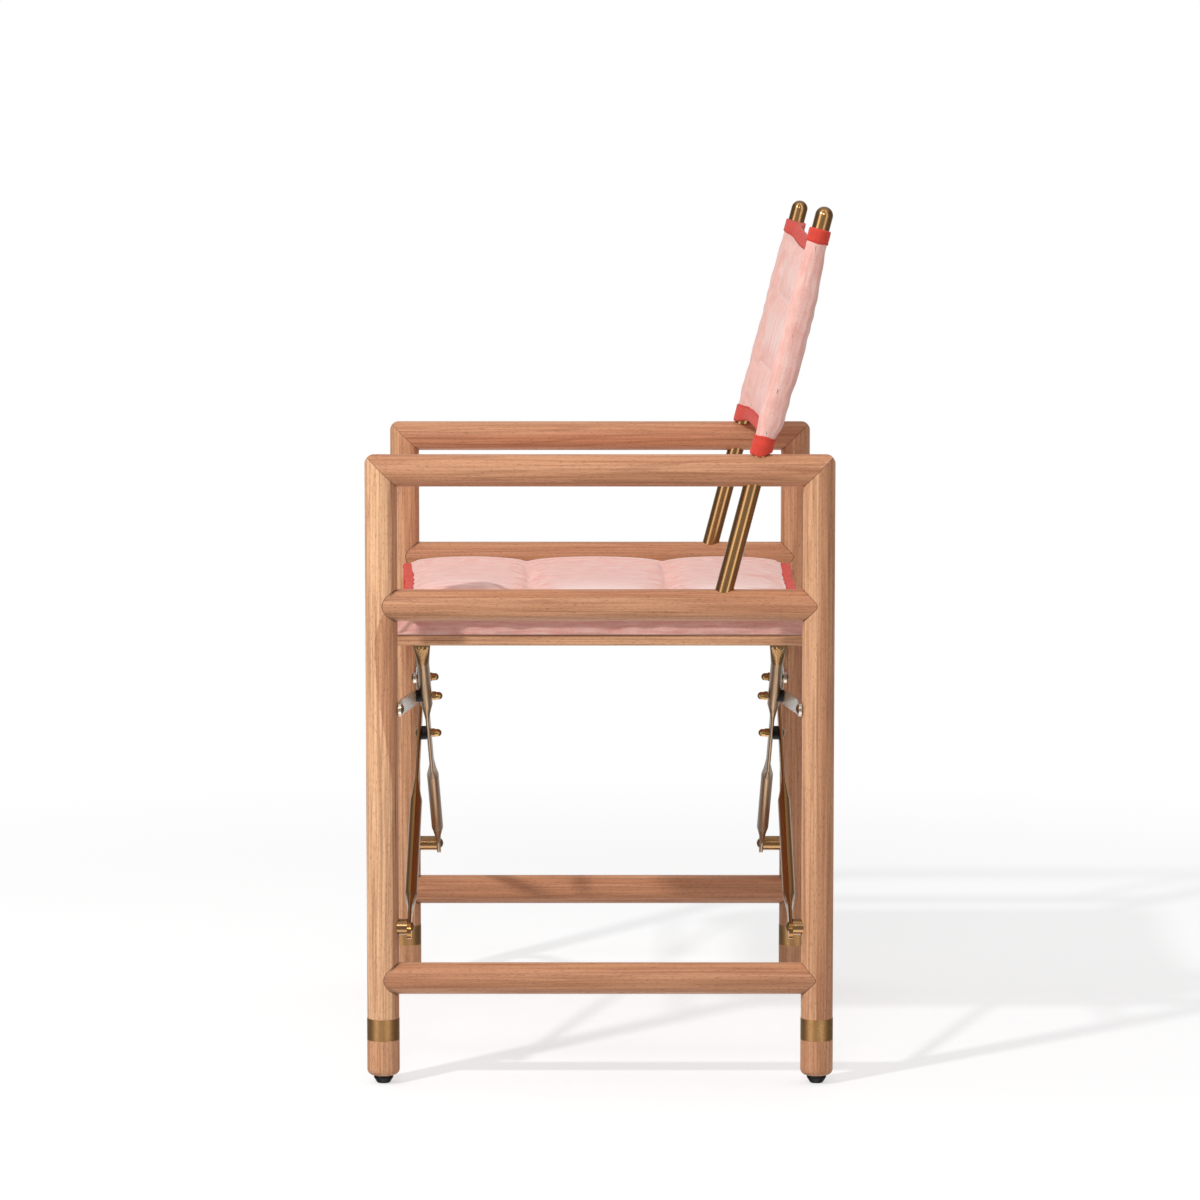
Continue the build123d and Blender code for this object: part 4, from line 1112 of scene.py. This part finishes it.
def pocket_tapes(side, material):
    """The seat's front and rear tapes where they run over one batten and down its outer face."""
    cloth = settings("cloth")
    middle = BATTEN_HIGH.z + SEAT_LIFT
    skin = POCKET_HIGH.x - 0.0012
    groove = POCKET_LOW.z + 0.002
    corner = 0.006
    line = [(HINGE_X, middle)]
    for a in np.linspace(0, pi / 2, 7):
        line.append((skin - corner + corner * sin(a), middle - corner + corner * cos(a)))
    line.append((skin, groove))
    line = along_line(line, 26)
    slope = np.gradient(line, axis=0)
    slope /= np.linalg.norm(slope, axis=1, keepdims=True)
    none = np.zeros(len(line))
    normal = np.stack([side * -slope[:, 1], none, slope[:, 0]], axis=1)
    half = cloth.edge_half + TAPE_OVER
    over_corner = smooth((np.arange(len(line)) / len(line) - 0.35) / 0.25)
    half = (half - (half - TAPE_THIN) * over_corner)[:, None]
    name = "left_pocket" if side > 0 else "right_pocket"
    for end, fold, sewn in (
        ("front", SEAT_FRONT, SEAT_FRONT + cloth.seat_tape),
        ("rear", SEAT_REAR, SEAT_REAR - cloth.rear_tape),
    ):
        slant = rear_slant(line[:, 1], side) if end == "rear" else none
        edge = np.stack([side * line[:, 0], fold + slant, line[:, 1]], axis=1)
        inside = np.stack([side * line[:, 0], sewn + slant, line[:, 1]], axis=1)
        yield folded_tape(f"{name}_{end}_tape", edge, inside, normal, half, material)


# Back
def back_place(x, up, rear):
    """Places on the back: up along the posts and to the rear of the line between them."""
    y = POST_FOOT.y + up * POST_WAY.y + rear * BACK_REAR.y
    z = POST_FOOT.z + up * POST_WAY.z + rear * BACK_REAR.z
    return np.stack([x, y, z], axis=2)


def back_columns():
    """X of the columns of points across the back, their lift off it, and their reach out of a sleeve."""
    first = 0.35
    arc = (np.arange(ARC_STEPS) + first) / ARC_STEPS * pi / 2
    panel = np.linspace(-FRAME_X, FRAME_X, int(2 * FRAME_X / settings("cloth").grid) + 1)
    centre = np.concatenate([np.full(ARC_STEPS, -FRAME_X), panel, np.full(ARC_STEPS, FRAME_X)])
    lift = np.concatenate([np.sin(arc), np.ones(len(panel)), np.sin(arc)[::-1]])
    out = np.concatenate([-np.cos(arc), np.zeros(len(panel)), np.cos(arc)[::-1]])
    return centre, lift, out


def back_sag(x):
    """How far the middle of the back hangs to the rear."""
    return settings("cloth").back_sag * (1 - (x / FRAME_X) ** 2)


def back_edges(x):
    """Lower and upper edge of the back along the posts."""
    cloth = settings("cloth")
    inward = 1 - (x / FRAME_X) ** 2
    return SLEEVE_BOTTOM + cloth.back_bottom_rise * inward, SLEEVE_TOP - cloth.back_top_dip * inward


def back_channels(x):
    """Sewn lines of the back along the posts: tapes and channels."""
    cloth = settings("cloth")
    low, high = back_edges(x)
    low = low + cloth.back_tape
    high = high - cloth.back_tape
    return [low, *[low + share * (high - low) for share in cloth.back_rows], high]


def back_rows(up, front_half, rear_half, radius, extra):
    """Closed rows round the back: panel thickness towards the middle, sleeves round the posts."""
    centre, lift, out = back_columns()
    inside = smooth((FRAME_X - np.abs(centre)) / SLEEVE_RUN)
    sag = back_sag(centre)
    x = centre + out * (radius + SLEEVE_SIDE * extra)
    front = sag - lift * (front_half * inside + radius * (1 - inside))
    rear = sag + lift * (rear_half * inside + (radius + extra) * (1 - inside))
    return back_place(x, up, front), back_place(x, up, rear)


def back_flat(up):
    """Flat map of the back: across along its skin, and up along the posts."""
    centre, lift, out = back_columns()
    across = centre + np.sign(out) * settings("cloth").sleeve_radius * np.arccos(lift)
    return np.stack([np.repeat(across[None, :], len(up), axis=0), up], axis=2)


def back_cushion(material):
    """The quilted back with its two sleeves."""
    cloth = settings("cloth")
    centre = back_columns()[0]
    lines = back_channels(centre[None, :])
    share = np.linspace(0, 1, int((SLEEVE_TOP - SLEEVE_BOTTOM) / cloth.grid) + 1)[:, None]
    up = lines[0] - TUCK + share * (lines[-1] - lines[0] + 2 * TUCK)
    edge_run = 0.02
    from_edge = np.minimum(up - lines[0], lines[-1] - up)
    sewn = cloth.edge_half * EDGE_SHARE
    sewn = sewn + (cloth.back_seam - cloth.edge_half) * smooth(from_edge / edge_run)
    left_out = CUT_SHARE * cloth.swell_reach
    cells = pillow(up, lines)
    cut_front, cut_rear = (
        sewn + (swelling - left_out - sewn) * cells for swelling in (cloth.back_crown, cloth.back_base)
    )
    above = up - lines[0]
    flare_start = 0.010
    bulge = cloth.sleeve_bulge * np.sin(pi * np.clip(share, 0, 1)) ** 1.3
    bulge = bulge + SLEEVE_FLARE * np.exp(-np.maximum(above, 0) / FLARE_RUN) * smooth(above / flare_start)
    radius = np.full_like(up, cloth.sleeve_radius)
    front, rear = back_rows(up, cut_front, cut_rear, radius, bulge)
    back = shell("back_cushion", front, rear, back_flat(up), material)
    held = on_seams(up, lines)
    held[:, np.abs(centre) > FRAME_X - SLEEVE_HELD] = 1.0
    held[:2] = held[-2:] = 1.0
    swell(back, held)
    subdivide(back)
    pucker_back(back)
    return back


def pucker_back(back):
    """Gathers along the channels, slack down the sleeves and the ridge of their outer seams."""
    places = places_of(back)
    x = places[:, 0]
    off = places - np.array(POST_FOOT)
    up = off[:, 1] * POST_WAY.y + off[:, 2] * POST_WAY.z
    rear = off[:, 1] * BACK_REAR.y + off[:, 2] * BACK_REAR.z
    panel_x = np.clip(x, -FRAME_X, FRAME_X)
    side = np.where(rear > back_sag(panel_x), 1.0, -1.0)
    lift = np.zeros_like(x)
    pitch, tall, reach = 0.0115, 0.0008, 0.013
    for number, line in enumerate(back_channels(panel_x)):
        apart = up - line
        seed = 2.3 * number + np.where(apart > 0, 1.1, 0.0)
        lift += gathers(x, apart, seed, pitch, tall, reach)
    panel_run = 0.03
    panel = smooth((FRAME_X - np.abs(x)) / panel_run)
    drape = sum(tall * ripple(up, long, seed) for tall, long, seed in SLEEVE_DRAPE)
    move = side * (lift * panel + drape * (1 - panel))
    places += move[:, None] * np.array(BACK_REAR)
    outward = np.maximum(np.abs(x) - FRAME_X, 0)
    angle = np.arctan2(rear, outward)
    ridge = sum(tall * bell(angle - RIDGE_ANGLE - start, wide) for tall, start, wide in RIDGE_SHAPE)
    ridge_start = 0.002
    ridge *= RIDGE_TALL * smooth(outward / ridge_start)
    places[:, 0] += np.sign(x) * ridge * np.cos(angle)
    places += (ridge * np.sin(angle))[:, None] * np.array(BACK_REAR)
    move_points(back, places)


def back_tape(name, end, material):
    """The tape along one edge of the back, which makes rings round the posts, and its sewn line."""
    cloth = settings("cloth")
    centre, lift = back_columns()[:2]
    edge = back_edges(centre[None, :])[end]
    way = 1 if end == 0 else -1
    wide = cloth.back_tape
    rounding = ((0.0012, 0), (0.0003, 0.0006), (0, 0.0015))
    levels = [(wide, 0), (wide - SEWN_IN, 0), (wide * 0.6, 0), (wide * 0.3, 0), *rounding]
    deep, thin = np.array(levels).T[:, :, None]
    half = cloth.edge_half + BACK_TAPE_OVER
    ring = cloth.sleeve_radius + RING_OVER
    up = edge + way * deep
    wave_tall, wave_long = 0.0004, 0.052
    wave = wave_tall * ripple(centre[None, :], wave_long, 1.0 + end)
    sleeve = 1 - smooth((FRAME_X - np.abs(centre)) / SLEEVE_RUN)
    free = (1 - deep / wide) * sleeve * RING_DROOP * (1 - end)
    front = back_rows(up - free * (1 - 0.08 * lift), half - thin + wave, half, ring - thin, 0.0)[0]
    rear = back_rows(up - free * (1 - lift), half, half - thin - wave, ring - thin, 0.0)[1]
    tape = shell(name, front, rear, back_flat(up), material)
    subdivide(tape)
    sewn = 1
    out_of_cloth = TAPE_OVER * np.array(BACK_REAR)
    line = np.concatenate([front[sewn] - out_of_cloth, rear[sewn][::-1] + out_of_cloth, front[sewn][:1]])
    return tape, line


# Operators
class CHAIR_OT_wood(bpy.types.Operator):
    """Gives the wooden frame, battens and foot tips their oiled teak"""

    bl_idname = "chair.wood"
    bl_label = "Teak"

    def execute(self, context):
        paint_sides(leg_teak("leg_teak"), "front_leg", "rear_leg")
        paint_sides(teak("arm_teak", LEVEL, mitred=True), "arm_rail")
        paint_sides(teak("rail_teak", LEVEL), "seat_rail", "stretcher")
        paint_sides(teak("batten_teak", LEVEL, BATTEN_HEART), "batten")
        paint_sides(teak("foot_teak", UPRIGHT, TIP_HEART), "foot_tips")
        paint_sides(beech("dowel_beech"), "dowels")
        return {"FINISHED"}


class CHAIR_OT_metal(bpy.types.Operator):
    """Gives the posts, collars, scissors and fasteners their brushed metal"""

    bl_idname = "chair.metal"
    bl_label = "Brass and bronze"

    def execute(self, context):
        colours = context.scene.chair_metal
        lean = pi / 2 - BAR_ANGLE
        outer = metal("outer_bar_bronze", colours.golden, (0, lean, 0), OUTER_MATT)
        inner = metal("inner_bar_bronze", colours.bronze, (0, -lean, 0), INNER_MATT)
        fastener = metal("fastener_bronze", colours.fastener, LEVEL)
        black = nylon("black_nylon")
        paint_sides(metal("post_brass", colours.brass, (POST_TILT, 0, 0)), "back_post", "post_tip")
        paint_sides(metal("collar_brass", colours.brass, ACROSS, COLLAR_MATT), "collars")
        paint_sides(metal("stub_bronze", colours.bronze, LEVEL), "pivot_stubs")
        paint_sides(metal("link_bronze", colours.link, ACROSS), "links")
        paint_sides(fastener, "pivot_screws", "link_screws", "link_bolts", "link_nuts", "batten_screws")
        paint_sides(black, "foot_glides")
        paint(outer, "outer_front_bar", "outer_rear_bar")
        paint(inner, "inner_front_bar", "inner_rear_bar")
        paint(fastener, "centre_bolts", "centre_nuts")
        paint(black, "centre_spacers", "left_link_washers")
        return {"FINISHED"}


def fold_with_seat(piece):
    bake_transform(piece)


def fold_with_back(piece):
    middle = JOINTS["back_middle"]["pos_m"]
    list(middle[1:])
    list(middle[1:])
    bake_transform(piece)


class CHAIR_OT_seat(bpy.types.Operator):
    """Makes the quilted seat with its bound edges and stitching"""

    bl_idname = "chair.seat"
    bl_label = "Seat"

    def execute(self, context):
        cloth = context.scene.chair_cloth
        red = made_once("red_tape", ribbed_tape)
        seat = seat_cushion(made_once("pink_cloth", woven))
        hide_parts("seat_pad_left", "seat_pad_right")
        fold_with_seat(seat)
        x = np.linspace(-HINGE_X, HINGE_X, TAPE_POINTS)
        half = cloth.edge_half + TAPE_OVER
        lines = []
        for name, edge, inside, normal in seat_tape_rows(x):
            tape = folded_tape(f"seat_{name}_tape", edge, inside, normal, half, red)
            if name == "front":
                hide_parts("seat_binding_left", "seat_binding_right")
            fold_with_seat(tape)
            way = (edge - inside) / np.linalg.norm(edge - inside, axis=1, keepdims=True)
            for up in (1, -1):
                lines.append(inside + SEWN_IN * way + up * normal * (half + STITCH_OVER))
        thread = made_once("red_thread", sewing_thread, cloth.tape_thread)
        sewing = stitches("seat_tape_stitches", lines, thread)
        fold_with_seat(sewing)
        channels = []
        for line in seat_lines(x)[1][1:3]:
            top = seat_middle(x) + seat_upper(x, line, cloth.seat_seam) - STITCH_DRAW
            channels.append(np.stack([x, line, top], axis=1))
        thread = made_once("pink_thread", sewing_thread, cloth.thread)
        quilting = stitches("seat_channel_stitches", channels, thread)
        fold_with_seat(quilting)
        return {"FINISHED"}


class CHAIR_OT_pockets(bpy.types.Operator):
    """Makes the padded pockets over the seat battens"""

    bl_idname = "chair.pockets"
    bl_label = "Batten pockets"

    def execute(self, context):
        fabric = made_once("pink_cloth", woven)
        red = made_once("red_tape", ribbed_tape)
        for side, node, body in (
            (1, "left_batten_pocket", "inner_scissor"),
            (-1, "right_batten_pocket", "outer_scissor"),
        ):
            cover = batten_pocket(side, fabric)
            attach(cover, body)
            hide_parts(node)
            for tape in pocket_tapes(side, red):
                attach(tape, body)
        return {"FINISHED"}


class CHAIR_OT_back(bpy.types.Operator):
    """Makes the quilted back with its sleeves, bound edges and stitching"""

    bl_idname = "chair.back"
    bl_label = "Back"

    def execute(self, context):
        cloth = context.scene.chair_cloth
        red = made_once("red_tape", ribbed_tape)
        back = back_cushion(made_once("pink_cloth", woven))
        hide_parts("back_panel_left", "back_panel_right")
        fold_with_back(back)
        lines = []
        for name, end in (("back_lower_tape", 0), ("back_upper_tape", 1)):
            tape, line = back_tape(name, end, red)
            if end == 0:
                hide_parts("back_binding_left", "back_binding_right")
            fold_with_back(tape)
            lines.append(line)
        thread = made_once("red_thread", sewing_thread, cloth.tape_thread)
        sewing = stitches("back_tape_stitches", lines, thread)
        fold_with_back(sewing)
        return {"FINISHED"}


class CHAIR_OT_stage(bpy.types.Operator):
    """Sets up the floor, lamps, white surroundings and camera"""

    bl_idname = "chair.stage"
    bl_label = "Stage"

    def execute(self, context):
        scene = context.scene
        stage = scene.chair_stage
        camera = bpy.data.cameras.new("camera")
        camera.lens = stage.lens
        camera.sensor_width = stage.sensor
        viewer = new_object("camera", camera)
        viewer.location = stage.camera_place
        viewer.rotation_euler = (pi / 2 - stage.camera_pitch, 0, pi / 2)
        scene.camera = viewer
        add_floor(stage.floor_reach)
        add_lamp("key_lamp", stage.key_place, stage.key_size, stage.key_power)
        add_lamp("front_lamp", stage.fill_place, stage.fill_size, stage.fill_power)
        light_world(scene, stage)
        scene.view_settings.view_transform = "Standard"
        return {"FINISHED"}


def add_lamp(name, place, size, power):
    lamp = bpy.data.lights.new(name, "AREA")
    lamp.shape = "DISK"
    lamp.size = size
    lamp.energy = power
    holder = new_object(name, lamp)
    holder.location = place
    way = Vector(settings("stage").target) - Vector(place)
    holder.rotation_euler = way.to_track_quat("-Z", "Y").to_euler()


def add_floor(reach):
    """A white floor that keeps the shadow near the chair and runs out into plain white."""
    mesh = bpy.data.meshes.new("floor")
    corners = [(-reach, -reach, 0), (reach, -reach, 0), (reach, reach, 0), (-reach, reach, 0)]
    mesh.from_pydata(corners, [], [(0, 1, 2, 3)])
    floor = new_object("floor", mesh)
    made, tree = new_material("white_floor")
    made.node_tree.nodes.clear()
    bounce = tree.node("BsdfDiffuse", {"Color": (0.6, 0.6, 0.6)})[0]
    catch = tree.node("BsdfDiffuse", {"Color": (0.5, 0.5, 0.5)})[0]
    lift = tree.node("Emission", {"Strength": 0.52})[0]
    shadowed = tree.node("AddShader", {0: catch, 1: lift})[0]
    white = tree.node("Emission")[0]
    far = tree.node("VectorMath", {0: object_place(tree)}, operation="LENGTH")["Value"]
    near = tree.mixed_shader(tree.ease(far, 1.0, 2.0), shadowed, white)
    path = tree.node("LightPath")
    seen = tree.math("MAXIMUM", path["Is Camera Ray"], path["Is Transmission Ray"])
    plain = tree.mixed_shader(seen, bounce, near)
    shown = tree.mixed_shader(path["Is Glossy Ray"], plain, tree.node("BsdfTransparent")[0])
    tree.node("OutputMaterial", {"Surface": shown})
    mesh.materials.append(made)


def studio_gloss(tree, x, y, z):
    """What metal mirrors: a dim room, the white backdrop, and two tall soft boxes beside the camera."""
    turn = tree.math("ARCTAN2", y, x)
    level = tree.ease(tree.size(turn), radians(40), radians(80), 0.50, 0.24)
    level = tree.plus(level, tree.ease(x, -0.6, -0.95, 0.0, 0.5))
    for middle, half, bright in ((radians(-49), radians(17), 2.3), (radians(35), radians(15), 1.9)):
        apart = tree.size(tree.minus(turn, middle))
        level = tree.plus(level, tree.ease(apart, 0.4 * half, half, bright, 0.0))
    across = tree.ease(tree.size(y), 0.08, 0.35, 1.0, 0.0)
    floor = tree.times(tree.ease(z, -0.5, -0.75, 0.0, 1.9), across)
    return tree.plus(tree.plus(level, floor), tree.ease(z, 0.5, 0.9, 0.0, 0.5))


def light_world(scene, stage):
    """White surroundings behind the chair and a dimmer room on the camera's side."""
    world = bpy.data.worlds.new("studio")
    scene.world = world
    world.use_nodes = True
    world.node_tree.nodes.clear()
    tree = Tree(world.node_tree)
    x, y, z = tree.parts(tree.node("TexCoord")["Generated"])
    room = tree.ease(y, -0.5, 0.7, stage.room, 2.4 * stage.room)
    level = tree.ease(x, -0.15, 0.55, stage.sweep, room)
    path = tree.node("LightPath")
    level = tree.mix(path["Is Glossy Ray"], level, studio_gloss(tree, x, y, z))
    level = tree.mix(path["Is Camera Ray"], level, (1, 1, 1))
    tree.node("OutputWorld", {"Surface": tree.node("Background", {"Color": level})[0]})


class CHAIR_PT_sidebar(bpy.types.Panel):
    """Lists the steps that dress the chair"""

    bl_idname = "CHAIR_PT_sidebar"
    bl_label = "Folding chair"
    bl_space_type = "VIEW_3D"
    bl_region_type = "UI"
    bl_category = "Chair"

    def draw(self, context):
        for step in STEPS:
            self.layout.operator(step.bl_idname)


STEPS = (CHAIR_OT_wood, CHAIR_OT_metal, CHAIR_OT_seat, CHAIR_OT_pockets, CHAIR_OT_back, CHAIR_OT_stage)
GROUPS = {
    "chair_wood": ChairWood,
    "chair_metal": ChairMetal,
    "chair_cloth": ChairCloth,
    "chair_stage": ChairStage,
}


def register():
    for name, group in GROUPS.items():
        bpy.utils.register_class(group)
        setattr(bpy.types.Scene, name, PointerProperty(type=group))
    for step in (*STEPS, CHAIR_PT_sidebar):
        bpy.utils.register_class(step)


def unregister():
    for step in (CHAIR_PT_sidebar, *reversed(STEPS)):
        bpy.utils.unregister_class(step)
    for name, group in GROUPS.items():
        delattr(bpy.types.Scene, name)
        bpy.utils.unregister_class(group)


def main():
    register()
    bpy.ops.chair.wood()
    bpy.ops.chair.metal()
    bpy.ops.chair.seat()
    bpy.ops.chair.pockets()
    bpy.ops.chair.back()
    bpy.ops.chair.stage()


if __name__ == "__main__":
    main()
